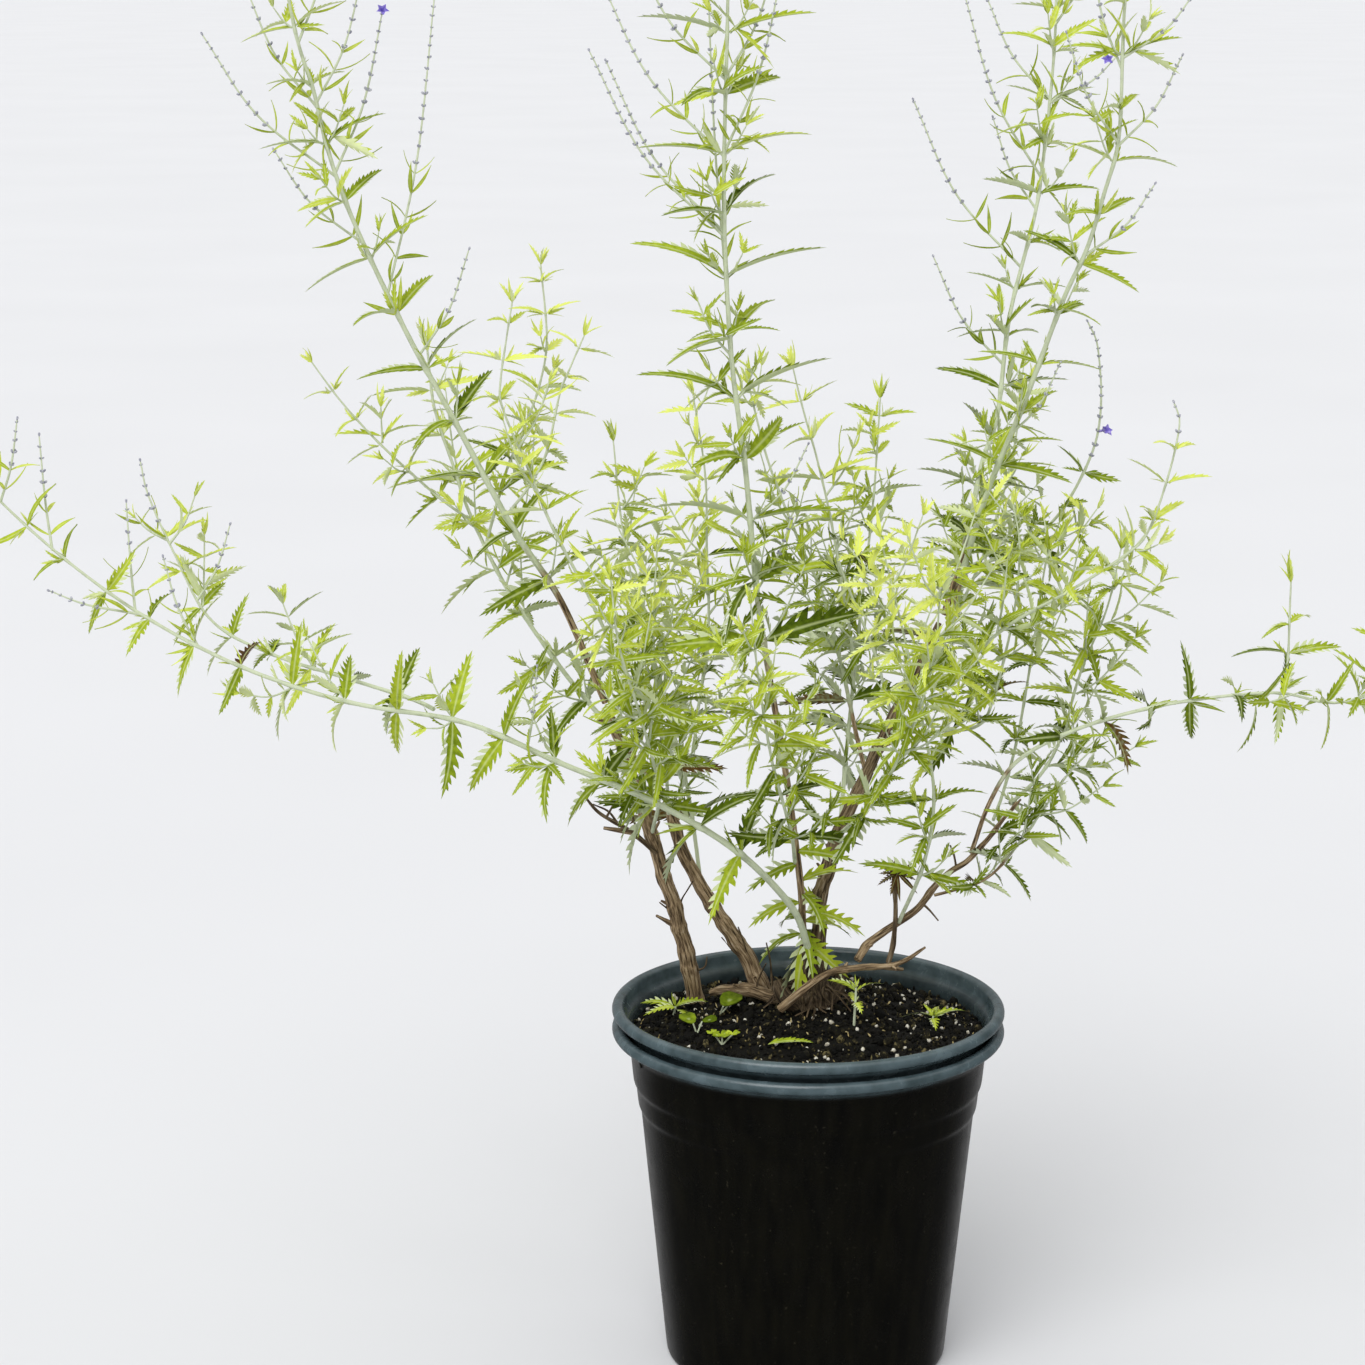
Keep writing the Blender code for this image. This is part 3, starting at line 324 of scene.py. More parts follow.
# What the eye sees beyond the routes. bark: how far it runs up from the foot. tint: the leaf colour
# at foot and tip (0 dead, 0.3 dark green, 0.6 yellow-green, 1 pale yellow). spike: the length of the
# bud spike at the tip. flowering: whether side shoots end in spikes. droop: how far leaves hang, in
# degrees. axil: how often the bud behind a leaf has grown out. face: how far low leaves turn to the
# open front. kinds: the leaf shapes low down. uncut: the share of the stem past which leaves are
# narrow and uncut. blooms: on which spikes, by side shoot, one flower is open, and how far along.
# low: extra leaves round the foot, as (distance, turn, fall, length, kind).
PLAIN = {"bark": 0, "tint": (0.42, 0.72), "spike": 0, "flowering": False, "droop": 0.0, "axil": 0.5,
         "face": 0.2, "kinds": (0, 1, 3, 4, 5), "uncut": 1.0, "blooms": {}, "low": ()}
LOOKS = {
    "tall_stem_left": {"bark": 95, "tint": (0.5, 0.74), "spike": 30, "flowering": True,
                       "blooms": {4: 0.9, 6: 0.82}},
    "tall_stem_left_rear": {"bark": 45, "tint": (0.5, 0.8)},
    "side_branch_left_rear": {"tint": (0.62, 0.85), "axil": 0.1},
    "young_shoot_rear": {"tint": (0.6, 0.95), "axil": 0.1},
    "young_shoot_middle": {"tint": (0.6, 0.95), "axil": 0.1},
    "young_shoot_front": {"tint": (0.55, 0.85), "axil": 0.1},
    "long_low_stem": {"tint": (0.5, 0.72), "spike": 46, "flowering": True, "droop": 4.0, "axil": 0.12,
                      "uncut": 0.78, "face": 0.9, "kinds": (3, 4, 0, 5)},
    "long_low_stem_upper": {"tint": (0.55, 0.72), "spike": 34, "flowering": True, "axil": 0.1,
                            "uncut": 0.78, "face": 0.9, "kinds": (3, 4, 0, 5)},
    "tall_stem_centre": {"bark": 215, "tint": (0.46, 0.74), "spike": 24, "flowering": True, "low": BASAL,
                         "axil": 1.4},
    "tall_stem_right_front": {"bark": 30, "tint": (0.48, 0.74), "spike": 24, "flowering": True},
    "tall_stem_right_rear": {"bark": 50, "tint": (0.44, 0.7), "spike": 24, "flowering": True,
                             "blooms": {4: 0.6}},
    "flower_spike_stem": {"tint": (0.42, 0.55), "spike": 78, "flowering": True, "blooms": {"tip": 0.17}},
    "leafy_stem_right_front": {"tint": (0.5, 0.85), "spike": 16, "axil": 0.25},
    "leafy_stem_right": {"tint": (0.45, 0.65), "axil": 0.25},
    "far_right_stem": {"bark": 70, "tint": (0.4, 0.66), "droop": 8.0, "axil": 0.1,
                       "face": 1.0, "kinds": (3, 4, 5)},
    "far_right_upright_shoot": {"tint": (0.55, 0.8), "axil": 0.1},
    "rear_centre_stem": {"bark": 60, "tint": (0.42, 0.8)},
    "young_shoot_centre": {"tint": (0.6, 0.92), "axil": 0.1},
    "wilted_shoot": {"tint": (0.46, 0.2), "droop": 12.0, "axil": 0.1},
    "bush_shoot_left": {"tint": (0.46, 0.85)},
    "bush_shoot_left_centre": {"tint": (0.5, 0.9)},
    "low_twig_right": {"bark": 60, "tint": (0.36, 0.5), "droop": 14.0},
    "bush_shoot_right_front": {"tint": (0.5, 0.98)},
    "bush_shoot_right": {"tint": (0.4, 0.8), "axil": 0.35},
    "bush_shoot_far_right": {"tint": (0.42, 0.72), "axil": 0.3},
    "bush_shoot_rear_left": {"tint": (0.4, 0.7)},
    "bush_shoot_rear": {"tint": (0.4, 0.7)},
    "bush_shoot_rear_right": {"tint": (0.4, 0.7)},
    "bush_shoot_front": {"tint": (0.42, 0.74)},
    "bush_shoot_front_right": {"tint": (0.42, 0.74)},
    "bush_shoot_front_left": {"tint": (0.42, 0.74)},
}

# Edges that fold at least this far, in radians, stay crisp on small shapes
SHARP_FROM = 1.7

# Degrees between one pair of leaves and the next, as the light draws them round
PAIR_TURN = 58.0

# Bud spikes: the lowest bud's length, an open flower's, and the first gap between two whorls
BUD_LENGTH = 2.4
FLOWER_LENGTH = 8.0
WHORL_GAP = 7.4

# A side shoot longer than this ends in a spike, above leaves over this share of it
SPIKE_FROM = 42.0
LEAFY_SHARE = 0.42

# How far apart the points of a bar lie, in green stems and in wood
STEM_STEP = 4.0
WOOD_STEP = 1.6

# Stems swell by this much where leaves stand, over this length either way
NODE_SWELL = 0.28
NODE_REACH = 2.6

# Leaves near the tip are this much longer than the routes say
TIP_GROWTH = 1.15

# Below this height leaves are cut deeper, and most buds behind them have grown out
LOW_ZONE = 470.0

# A few low leaves are dead, or yellowed: how many, and their colours
ODD_SHARE = 0.04
ODD_TINTS = (0.93, 0.97, 0.16)

# Between dead and living colours lies a stretch that no leaf shows
DULL_FROM = 0.22
LIVING_FROM = 0.33

# The way to the open front, where leaves get their light
FRONT = Vector((0.1, -0.85, 0.5))

# Pieces that the eye sees thinner than their solids: all green stems, and some dry wood
GREEN_SLENDER = 0.74
SLENDER = {
    "dry_forked_twig": 0.72, "low_woody_branch": 0.78, "dead_upright_twig": 0.85, "dead_twig_left": 0.85,
}

# The finish that each family of small pieces wears on a plant
WORN_BY = {"leaves": "leaf", "trefoils": "leaf", "buds": "bud", "flowers": "petal"}

# How old the skin of a bar looks: green, sound bark, and dark dead wood
GREEN = 0.0
BARK = 1.4
DEAD = 2.2
STUMP_BARK = 2.35

# Woody pieces that have darkened
WEATHER = {"woody_cane_right": 1.95, "dead_upright_twig": DEAD, "dead_twig_left": DEAD, "surface_root": 1.7}

# Thread-thin dead twigs on the old wood: distance along it, then the tip's offset from there
THREADS = {
    "woody_cane_left": [
        (30, 9, -3, 10), (62, 8, -4, 26), (70, -9, -4, 6), (98, 7, -3, 22), (112, -8, -2, 16),
    ],
    "woody_cane_middle": [(26, -10, -8, 30), (34, -16, -6, 16), (72, 12, -6, 20), (96, -9, -4, 24)],
    "surface_root": [(12, -4, -8, 34), (22, 5, -9, 20)],
    "dead_twig_left": [(14, -6, -2, 20), (30, -14, -2, 12), (38, 4, -3, 16)],
    "low_woody_branch": [(52, 9, -4, -9), (84, -4, -5, 14)],
}

# Seedlings: place, height, and leaves as (turn in degrees, length, rise, share of the height)
SEEDLINGS = {
    "sage_seedling_left": (
        (-76, 20, 5), [(-150, 20, 8, 0.9), (160, 22, 16, 0.7), (20, 20, 20, 0.9), (-60, 18, 10, 0.6)],
    ),
    "sage_seedling_right": (
        (70, -2, 5), [(170, 20, 10, 0.9), (10, 20, 20, 0.8), (80, 18, 16, 0.9), (-90, 18, 10, 0.6)],
    ),
    "seedling_centre": (
        (25, -22, 22), [(160, 18, 30, 0.9), (20, 17, 24, 0.9), (-80, 15, 10, 0.6), (100, 15, 20, 0.6)],
    ),
}

# Weeds: place, height, and heads as (lean x, lean y, leaflets, their length, kind)
WEEDS = {
    "wood_sorrel": ((-50, 3, 9), [(2, -6, 1, 17, 1), (6, 2, 1, 12, 1)]),
    "wood_sorrel_small": ((-63, -22, 7), [(-2, 0, 1, 13, 1), (3, 3, 1, 9, 1)]),
    "clover": ((-49, -42, 6), [(0, 0, 3, 6.5, 0), (6, 2, 3, 5.0, 0), (-5, 4, 3, 4.5, 0)]),
}


# ---------------------------------------------------------------- nodes and colours


def linear(code):
    """An sRGB hex colour as the linear values a shader wants."""
    parts = [int(code[k : k + 2], 16) / 255 for k in (1, 3, 5)]
    return (*[c / 12.92 if c <= 0.04045 else ((c + 0.055) / 1.055) ** 2.4 for c in parts], 1.0)


def add(tree, kind, inputs=None, stops=None, out=0, **settings):
    """One node with its settings; each input is a value or the socket that feeds it.
    Returns the output that out names or numbers."""
    made = tree.nodes.new(kind)
    for name, value in settings.items():
        setattr(made, name, value)
    if stops:
        points = made.color_ramp.elements
        while len(points) < len(stops):
            points.new(0.5)
        for point, (place, code) in zip(points, stops):
            point.position = place
            point.color = linear(code)
    for name, value in (inputs or {}).items():
        if isinstance(value, bpy.types.NodeSocket):
            tree.links.new(value, made.inputs[name])
        else:
            made.inputs[name].default_value = value
    return made.outputs[out] if made.outputs else made


def new_material(name, roughness, ior=1.45, **extra):
    """A Principled material and its tree."""
    made = bpy.data.materials.new(name)
    made.use_nodes = True
    shader = made.node_tree.nodes["Principled BSDF"]
    values = {"Roughness": roughness, "IOR": ior, **extra}
    for key, value in values.items():
        shader.inputs[key.replace("_", " ")].default_value = value
    return made, made.node_tree


def wire(made, sources):
    """Feeds the shader's named inputs, and returns the material."""
    for name, source in sources.items():
        made.node_tree.links.new(source, made.node_tree.nodes["Principled BSDF"].inputs[name])
    return made


def plastic_material():
    """Black blow-moulded polyethylene: waxy, deep green-black, with a painted grey-blue sheen on the rims,
    weaker on the inner wall as painted shade, and scuffs that vary its gloss.
    """
    made, tree = new_material("moulded_black_polyethylene", 0.26, 1.5, Specular_IOR_Level=0.42)
    place = add(tree, "ShaderNodeTexCoord", out="Object")
    height = add(tree, "ShaderNodeSeparateXYZ", {0: place}, out="Z")
    # Painted sheen: above 184 mm the rims, the ledge and the inner wall take a lighter grey-blue, in full
    # outward of 103.5 mm and at 0.55 on the inner wall, where the weaker sheen is painted shade.
    high_up = add(tree, "ShaderNodeMapRange", {"Value": height, 1: 0.184, 2: 0.19})
    level = add(tree, "ShaderNodeMapping", {"Vector": place, "Scale": (1.0, 1.0, 0.0)})
    reach = add(tree, "ShaderNodeVectorMath", {0: level}, operation="LENGTH", out="Value")
    outer = add(tree, "ShaderNodeMapRange", {"Value": reach, 1: 0.1015, 2: 0.1035, 3: 0.55, 4: 1.0})
    rim = add(tree, "ShaderNodeMath", {0: high_up, 1: outer}, operation="MULTIPLY")
    squeezed = add(tree, "ShaderNodeMapping", {"Vector": place, "Scale": (1.0, 1.0, 0.18)})
    # Flow marks a few millimetres wide run up the wall
    flow = add(tree, "ShaderNodeTexNoise", {"Vector": squeezed, "Scale": 160.0, "Detail": 5.0})
    wall = add(tree, "ShaderNodeValToRGB", {0: flow}, [(0.3, "#060604"), (0.7, "#0F0E07")])
    # Blotchy noise that varies the painted grey-blue sheen of the rims, and the gloss of the whole pot as
    # scuffs.
    scuffs_and_sheen = add(tree, "ShaderNodeTexNoise", {"Vector": place, "Scale": 90.0, "Detail": 6.0})
    lip = add(tree, "ShaderNodeValToRGB", {0: scuffs_and_sheen}, [(0.3, "#384548"), (0.72, "#57676C")])
    colour = add(tree, "ShaderNodeMix", {0: rim, 6: wall, 7: lip}, data_type="RGBA", out=2)
    # Dust and dried splashes, 1 to 3 mm, strewn over the whole pot
    specks = add(tree, "ShaderNodeTexNoise", {"Vector": place, "Scale": 420.0, "Detail": 3.0})
    dust = add(tree, "ShaderNodeMapRange", {"Value": specks, 1: 0.66, 2: 0.82, 4: 0.35})
    colour = add(tree, "ShaderNodeMix", {0: dust, 6: colour, 7: linear("#4A4536")}, data_type="RGBA", out=2)
    rough = add(tree, "ShaderNodeMapRange", {"Value": scuffs_and_sheen, 1: 0.3, 2: 0.75, 3: 0.17, 4: 0.32})
    # Moulding grain of about 0.7 mm
    grain = add(tree, "ShaderNodeTexNoise", {"Vector": place, "Scale": 1400.0, "Detail": 2.0})
    ripple = add(tree, "ShaderNodeMath", {0: grain, 1: flow}, operation="ADD")
    bump = add(tree, "ShaderNodeBump", {"Height": ripple, "Strength": 0.12, "Distance": 0.0006})
    return wire(made, {"Base Color": colour, "Roughness": rough, "Normal": bump})


def peat_material():
    """Damp peat and composted bark: almost black, with brown fibres a millimetre or two wide."""
    made, tree = new_material("damp_peat_mix", 0.86, 1.4, Specular_IOR_Level=0.25)
    place = add(tree, "ShaderNodeTexCoord", out="Object")
    tint = add(tree, "ShaderNodeAttribute", attribute_name="tint", out="Fac")
    clod = add(tree, "ShaderNodeTexNoise", {"Vector": place, "Scale": 520.0, "Detail": 6.0})
    both = add(tree, "ShaderNodeMath", {0: clod, 1: tint}, operation="ADD")
    stops = [(0.3, "#040402"), (0.62, "#0F0D08"), (0.86, "#232012"), (1.0, "#6E6442")]
    colour = add(tree, "ShaderNodeValToRGB", {0: both}, stops)
    bump = add(tree, "ShaderNodeBump", {"Height": clod, "Strength": 0.7, "Distance": 0.0012})
    return wire(made, {"Base Color": colour, "Normal": bump})


def perlite_material():
    """Expanded volcanic glass: chalk-white, foamy and slightly stained."""
    made, tree = new_material("expanded_perlite", 0.9, 1.5)
    place = add(tree, "ShaderNodeTexCoord", out="Object")
    stain = add(tree, "ShaderNodeTexNoise", {"Vector": place, "Scale": 700.0, "Detail": 3.0})
    colour = add(tree, "ShaderNodeValToRGB", {0: stain}, [(0.35, "#A89F87"), (0.6, "#E6E3D6")])
    return wire(made, {"Base Color": colour})


def stem_material():
    """Sub-shrub stem: pale felted green where young, and where it has turned to wood,
    fissured grey-brown bark whose strips run along the stem."""
    made, tree = new_material("felted_stem_and_bark", 0.8, 1.45, Specular_IOR_Level=0.3)
    grain = add(tree, "ShaderNodeAttribute", attribute_name="grain", out="Vector")
    age = add(tree, "ShaderNodeAttribute", attribute_name="age", out="Fac")
    # Strips of bark about 1 mm wide and 15 mm long
    long_way = add(tree, "ShaderNodeMapping", {"Vector": grain, "Scale": (1.0, 1.0, 0.09)})
    fissured = {"Vector": long_way, "Scale": 900.0, "Detail": 7.0, "Roughness": 0.66}
    strips = add(tree, "ShaderNodeTexNoise", fissured)
    patches = add(tree, "ShaderNodeTexNoise", {"Vector": grain, "Scale": 130.0, "Detail": 4.0})
    stops = [(0.34, "#1D1711"), (0.45, "#6A573F"), (0.57, "#A58E6D"), (0.74, "#D6C8B0")]
    wood = add(tree, "ShaderNodeValToRGB", {0: strips}, stops)
    rot = add(tree, "ShaderNodeMapRange", {"Value": age, 1: 1.5, 2: 2.5, 4: 0.8})
    wood = add(tree, "ShaderNodeMix", {0: rot, 6: wood, 7: linear("#17120C")}, data_type="RGBA", out=2)
    felt = add(tree, "ShaderNodeTexNoise", {"Vector": grain, "Scale": 2600.0, "Detail": 3.0})
    mixed = add(tree, "ShaderNodeMath", {0: patches, 1: strips}, operation="ADD")
    green = add(tree, "ShaderNodeValToRGB", {0: mixed}, [(0.78, "#7C8B58"), (1.0, "#BAC69C")])
    green = add(tree, "ShaderNodeMix", {0: felt, 6: green, 7: linear("#D6DCC6")}, data_type="RGBA", out=2)
    edge = add(tree, "ShaderNodeMath", {0: patches, 1: 0.5}, operation="SUBTRACT")
    share = add(tree, "ShaderNodeMath", {0: edge, 1: age}, operation="ADD")
    share = add(tree, "ShaderNodeMapRange", {"Value": share, 1: 0.3, 2: 0.62})
    colour = add(tree, "ShaderNodeMix", {0: share, 6: green, 7: wood}, data_type="RGBA", out=2)
    bump = add(tree, "ShaderNodeBump", {"Height": strips, "Strength": 0.55, "Distance": 0.0007})
    return wire(made, {"Base Color": colour, "Normal": bump})


def leaf_material():
    """Living leaf: matt and finely hairy, darker where old, lemon where young, midrib paler."""
    made, tree = new_material("felted_sage_leaf", 0.7, 1.42, Specular_IOR_Level=0.1)
    tint = add(tree, "ShaderNodeAttribute", attribute_name="tint", out="Fac")
    vein = add(tree, "ShaderNodeAttribute", attribute_name="vein", out="Fac")
    place = add(tree, "ShaderNodeTexCoord", out="Object")
    # Mottling about 3 mm across
    mottle = add(tree, "ShaderNodeTexNoise", {"Vector": place, "Scale": 330.0, "Detail": 3.0})
    shift = add(tree, "ShaderNodeMapRange", {"Value": mottle, 1: 0.3, 2: 0.7, 3: -0.07, 4: 0.07})
    age = add(tree, "ShaderNodeMath", {0: tint, 1: shift}, operation="ADD")
    stops = [
        (0.0, "#33261A"),
        (0.14, "#6A4E26"),
        (0.28, "#3C4D08"),
        (0.42, "#5D7010"),
        (0.58, "#8B9D22"),
        (0.75, "#B3C236"),
        (0.92, "#DCE56C"),
    ]
    blade = add(tree, "ShaderNodeValToRGB", {0: age}, stops)
    rib = add(tree, "ShaderNodeMapRange", {"Value": vein, 1: 0.72, 2: 1.0, 4: 0.6})
    colour = add(tree, "ShaderNodeMix", {0: rib, 6: blade, 7: linear("#CDD79B")}, data_type="RGBA", out=2)
    under = add(tree, "ShaderNodeAttribute", attribute_name="under", out="Fac")
    living = add(tree, "ShaderNodeMapRange", {"Value": age, 1: 0.15, 2: 0.35, 4: 0.6})
    pale = add(tree, "ShaderNodeMath", {0: under, 1: living}, operation="MULTIPLY")
    colour = add(tree, "ShaderNodeMix", {0: pale, 6: colour, 7: linear("#E2EAC8")}, data_type="RGBA", out=2)
    fuzz = add(tree, "ShaderNodeTexNoise", {"Vector": place, "Scale": 1900.0, "Detail": 2.0})
    bump = add(tree, "ShaderNodeBump", {"Height": fuzz, "Strength": 0.25, "Distance": 0.0004})
    return wire(made, {"Base Color": colour, "Normal": bump})


def speckled_material(name, dark, light, size_mm, roughness):
    """Small soft tissue with a two-colour mottle of the given size."""
    made, tree = new_material(name, roughness, 1.42, Specular_IOR_Level=0.25)
    place = add(tree, "ShaderNodeTexCoord", out="Object")
    spots = add(tree, "ShaderNodeTexNoise", {"Vector": place, "Scale": 1000.0 / size_mm, "Detail": 3.0})
    colour = add(tree, "ShaderNodeValToRGB", {0: spots}, [(0.35, dark), (0.65, light)])
    bump = add(tree, "ShaderNodeBump", {"Height": spots, "Strength": 0.3, "Distance": 0.0004})
    return wire(made, {"Base Color": colour, "Normal": bump})


# ---------------------------------------------------------------- routes


def smooth_route(points, step):
    """Points spaced evenly along a smooth line through the given ones."""
    ends = [2 * points[0] - points[1], *points, 2 * points[-1] - points[-2]]
    fine = []
    for a, b, c, d in zip(ends, ends[1:], ends[2:], ends[3:]):
        for k in range(12):
            t = k / 12
            bend = 2 * a - 5 * b + 4 * c - d
            twist = 3 * b - a - 3 * c + d
            fine.append(0.5 * (2 * b + (c - a) * t + bend * t * t + twist * t**3))
    fine.append(points[-1])
    lengths = route_lengths(fine)
    count = max(2, round(lengths[-1] / step))
    return [point_at(fine, lengths, lengths[-1] * k / count) for k in range(count + 1)]


def point_at(points, lengths, distance):
    for a, b, start, end in zip(points, points[1:], lengths, lengths[1:]):
        if distance <= end:
            return a.lerp(b, (distance - start) / max(end - start, 1e-6))
    return points[-1].copy()


def route_lengths(points):
    lengths = [0.0]
    for a, b in zip(points, points[1:]):
        lengths.append(lengths[-1] + (b - a).length)
    return lengths


def side_frame(points, lengths, distance, turn):
    """Foot, outward direction and stem direction at a distance along a stem."""
    foot = point_at(points, lengths, distance)
    tangent = point_at(points, lengths, distance + 3.0) - point_at(points, lengths, distance - 3.0)
    tangent.normalize()
    side = Vector((1, 0, 0)) - tangent * tangent.x
    side.normalize()
    back = tangent.cross(side)
    angle = math.radians(turn)
    return foot, side * math.cos(angle) + back * math.sin(angle), tangent


def shoot_points(foot, offset):
    """A side shoot: it leaves the stem at a slant and turns upward to its tip."""
    x, y, z = offset
    middle = foot + Vector((0.6 * x, 0.6 * y, 0.44 * z))
    return smooth_route([foot, middle, foot + Vector(offset)], 3.0)


# ---------------------------------------------------------------- Geometry Nodes trees


def new_tree(name, *sockets):
    """A Geometry Nodes tree with the named inputs, and the nodes at its two ends."""
    tree = bpy.data.node_groups.new(name, "GeometryNodeTree")
    tree.interface.new_socket("Geometry", in_out="INPUT", socket_type="NodeSocketGeometry")
    for label, kind in sockets:
        tree.interface.new_socket(label, in_out="INPUT", socket_type="NodeSocket" + kind)
    tree.interface.new_socket("Geometry", in_out="OUTPUT", socket_type="NodeSocketGeometry")
    return tree, add(tree, "NodeGroupInput").node.outputs


def end_tree(tree, geometry, finish):
    """Closes a tree with real geometry in one finish."""
    real = add(tree, "GeometryNodeRealizeInstances", {0: geometry})
    shown = add(tree, "GeometryNodeSetMaterial", {"Geometry": real, "Material": finish})
    add(tree, "NodeGroupOutput", {0: shown})
    return tree


def bar_tree():
    """Round bars along polylines whose points carry their thickness; the bark is folded in ridges."""
    sockets = (("Sides", "Int"), ("Ridge Depth", "Float"), ("Ridge Width", "Float"), ("Finish", "Material"))
    tree, given = new_tree("bars_along_routes", *sockets)
    store = "GeometryNodeStoreNamedAttribute"
    thick, round_share, along = (
        add(tree, "GeometryNodeInputNamedAttribute", {"Name": name}, data_type="FLOAT")
        for name in ("thick", "round", "run")
    )
    line = add(tree, "GeometryNodeMeshToCurve", {0: given["Geometry"]})
    run = add(tree, "GeometryNodeSplineParameter", out="Length")
    line = add(tree, store, {0: line, "Name": "run", "Value": run}, data_type="FLOAT")
    line = add(tree, "GeometryNodeSetCurveRadius", {"Curve": line, "Radius": thick})
    ring = add(tree, "GeometryNodeCurvePrimitiveCircle", {"Resolution": given["Sides"], "Radius": 1.0})
    share = add(tree, "GeometryNodeSplineParameter", out="Factor")
    ring = add(tree, store, {0: ring, "Name": "round", "Value": share}, data_type="FLOAT")
    swept = {"Curve": line, "Profile Curve": ring, "Fill Caps": True, "Scale": thick}
    shape = add(tree, "GeometryNodeCurveToMesh", swept)
    # A lengthwise grain that closes on itself round the bar
    angle = add(tree, "ShaderNodeMath", {0: round_share, 1: math.tau}, operation="MULTIPLY")
    parts = [add(tree, "ShaderNodeMath", {0: angle}, operation=way) for way in ("COSINE", "SINE")]
    flat = [add(tree, "ShaderNodeMath", {0: part, 1: thick}, operation="MULTIPLY") for part in parts]
    grain = add(tree, "ShaderNodeCombineXYZ", {0: flat[0], 1: flat[1], 2: along})
    shape = add(tree, store, {0: shape, "Name": "grain", "Value": grain}, data_type="FLOAT_VECTOR")
    kept = add(tree, "GeometryNodeInputNamedAttribute", {"Name": "grain"}, data_type="FLOAT_VECTOR")
    stretched = add(tree, "ShaderNodeVectorMath", {0: kept, 1: (1.0, 1.0, 0.12)}, operation="MULTIPLY")
    per_metre = add(tree, "ShaderNodeMath", {0: 1.0, 1: given["Ridge Width"]}, operation="DIVIDE")
    ridges = add(tree, "ShaderNodeTexNoise", {"Vector": stretched, "Scale": per_metre, "Detail": 3.0})
    centred = add(tree, "ShaderNodeMath", {0: ridges, 1: 0.52}, operation="SUBTRACT")
    depth = add(tree, "ShaderNodeMath", {0: centred, 1: given["Ridge Depth"]}, operation="MULTIPLY")
    outward = add(tree, "GeometryNodeInputNormal")
    push = add(tree, "ShaderNodeVectorMath", {0: outward, "Scale": depth}, operation="SCALE")
    shape = add(tree, "GeometryNodeSetPosition", {"Geometry": shape, "Offset": push})
    shape = add(tree, "GeometryNodeSetShadeSmooth", {0: shape})
    return end_tree(tree, shape, given["Finish"])


def family_in(tree, given):
    """The members of the family that the tree is given, to pick from."""
    apart = {"Collection": given["Family"], "Separate Children": True, "Reset Children": True}
    return add(tree, "GeometryNodeCollectionInfo", apart)


def setting_tree():
    """Copies of a family of small pieces at points that carry their turn, size and kind."""
    sockets = (("Family", "Collection"), ("Growth", "Float"), ("Finish", "Material"))
    tree, given = new_tree("pieces_at_points", *sockets)
    turn, size, kind = (
        add(tree, "GeometryNodeInputNamedAttribute", {"Name": name}, data_type=sort)
        for name, sort in (("turn", "FLOAT_VECTOR"), ("size", "FLOAT"), ("kind", "INT"))
    )
    copied = {
        "Points": given["Geometry"],
        "Instance": family_in(tree, given),
        "Pick Instance": True,
        "Instance Index": kind,
        "Rotation": add(tree, "FunctionNodeEulerToRotation", {0: turn}),
        "Scale": add(tree, "ShaderNodeMath", {0: size, 1: given["Growth"]}, operation="MULTIPLY"),
    }
    return end_tree(tree, add(tree, "GeometryNodeInstanceOnPoints", copied), given["Finish"])


def scatter_tree():
    """Crumbs strewn over the top of a bed, each with its own turn, size and tint."""
    lengths = [(name, "Float") for name in ("Per Square Metre", "Smallest", "Largest", "Sink")]
    tree, given = new_tree(
        "crumbs_over_bed", ("Family", "Collection"), *lengths, ("Seed", "Int"), ("Finish", "Material")
    )
    up = add(tree, "ShaderNodeSeparateXYZ", {0: add(tree, "GeometryNodeInputNormal")}, out=2)
    top = add(tree, "ShaderNodeMath", {0: up, 1: 0.45}, operation="GREATER_THAN")
    place = {"Mesh": given["Geometry"], "Selection": top, "Density": given["Per Square Metre"]}
    strewn = add(tree, "GeometryNodeDistributePointsOnFaces", place | {"Seed": given["Seed"]})
    random_value = "FunctionNodeRandomValue"
    tint = add(tree, random_value, {2: -0.3, 3: 0.42, "Seed": given["Seed"]}, out=1, data_type="FLOAT")
    stored = {0: strewn, "Name": "tint", "Value": tint}
    strewn = add(tree, "GeometryNodeStoreNamedAttribute", stored, data_type="FLOAT")
    spin = add(tree, random_value, {1: (math.tau, math.tau, math.tau), "Seed": 3}, data_type="FLOAT_VECTOR")
    sizes = {2: given["Smallest"], 3: given["Largest"], "Seed": 4}
    drop = add(tree, "ShaderNodeCombineXYZ", {2: given["Sink"]})
    copied = {
        "Points": add(tree, "GeometryNodeSetPosition", {"Geometry": strewn, "Offset": drop}),
        "Instance": family_in(tree, given),
        "Pick Instance": True,
        "Rotation": add(tree, "FunctionNodeEulerToRotation", {0: spin}),
        "Scale": add(tree, random_value, sizes, out=1, data_type="FLOAT"),
    }
    return end_tree(tree, add(tree, "GeometryNodeInstanceOnPoints", copied), given["Finish"])


def plain_mesh(thing):
    """What an object's modifiers make of it, as a mesh of its own."""
    bpy.context.view_layer.update()
    return bpy.data.meshes.new_from_object(thing.evaluated_get(bpy.context.evaluated_depsgraph_get()))


def placed(name, mesh):
    """A new object at the origin."""
    thing = bpy.data.objects.new(name, mesh)
    bpy.context.scene.collection.objects.link(thing)
    return thing


def run_tree(mesh, tree, name, **values):
    """The mesh that a tree makes of the given one, as a plain object."""
    thing = placed(name, mesh)
    change = thing.modifiers.new("nodes", "NODES")
    change.node_group = tree
    labels = {item.name: item.identifier for item in tree.interface.items_tree if item.in_out == "INPUT"}
    for label, value in values.items():
        change[labels[label.replace("_", " ")]] = value
    made = plain_mesh(thing)
    thing.modifiers.remove(change)
    thing.data = made
    return thing


# ---------------------------------------------------------------- small shapes, 1 long, along +X


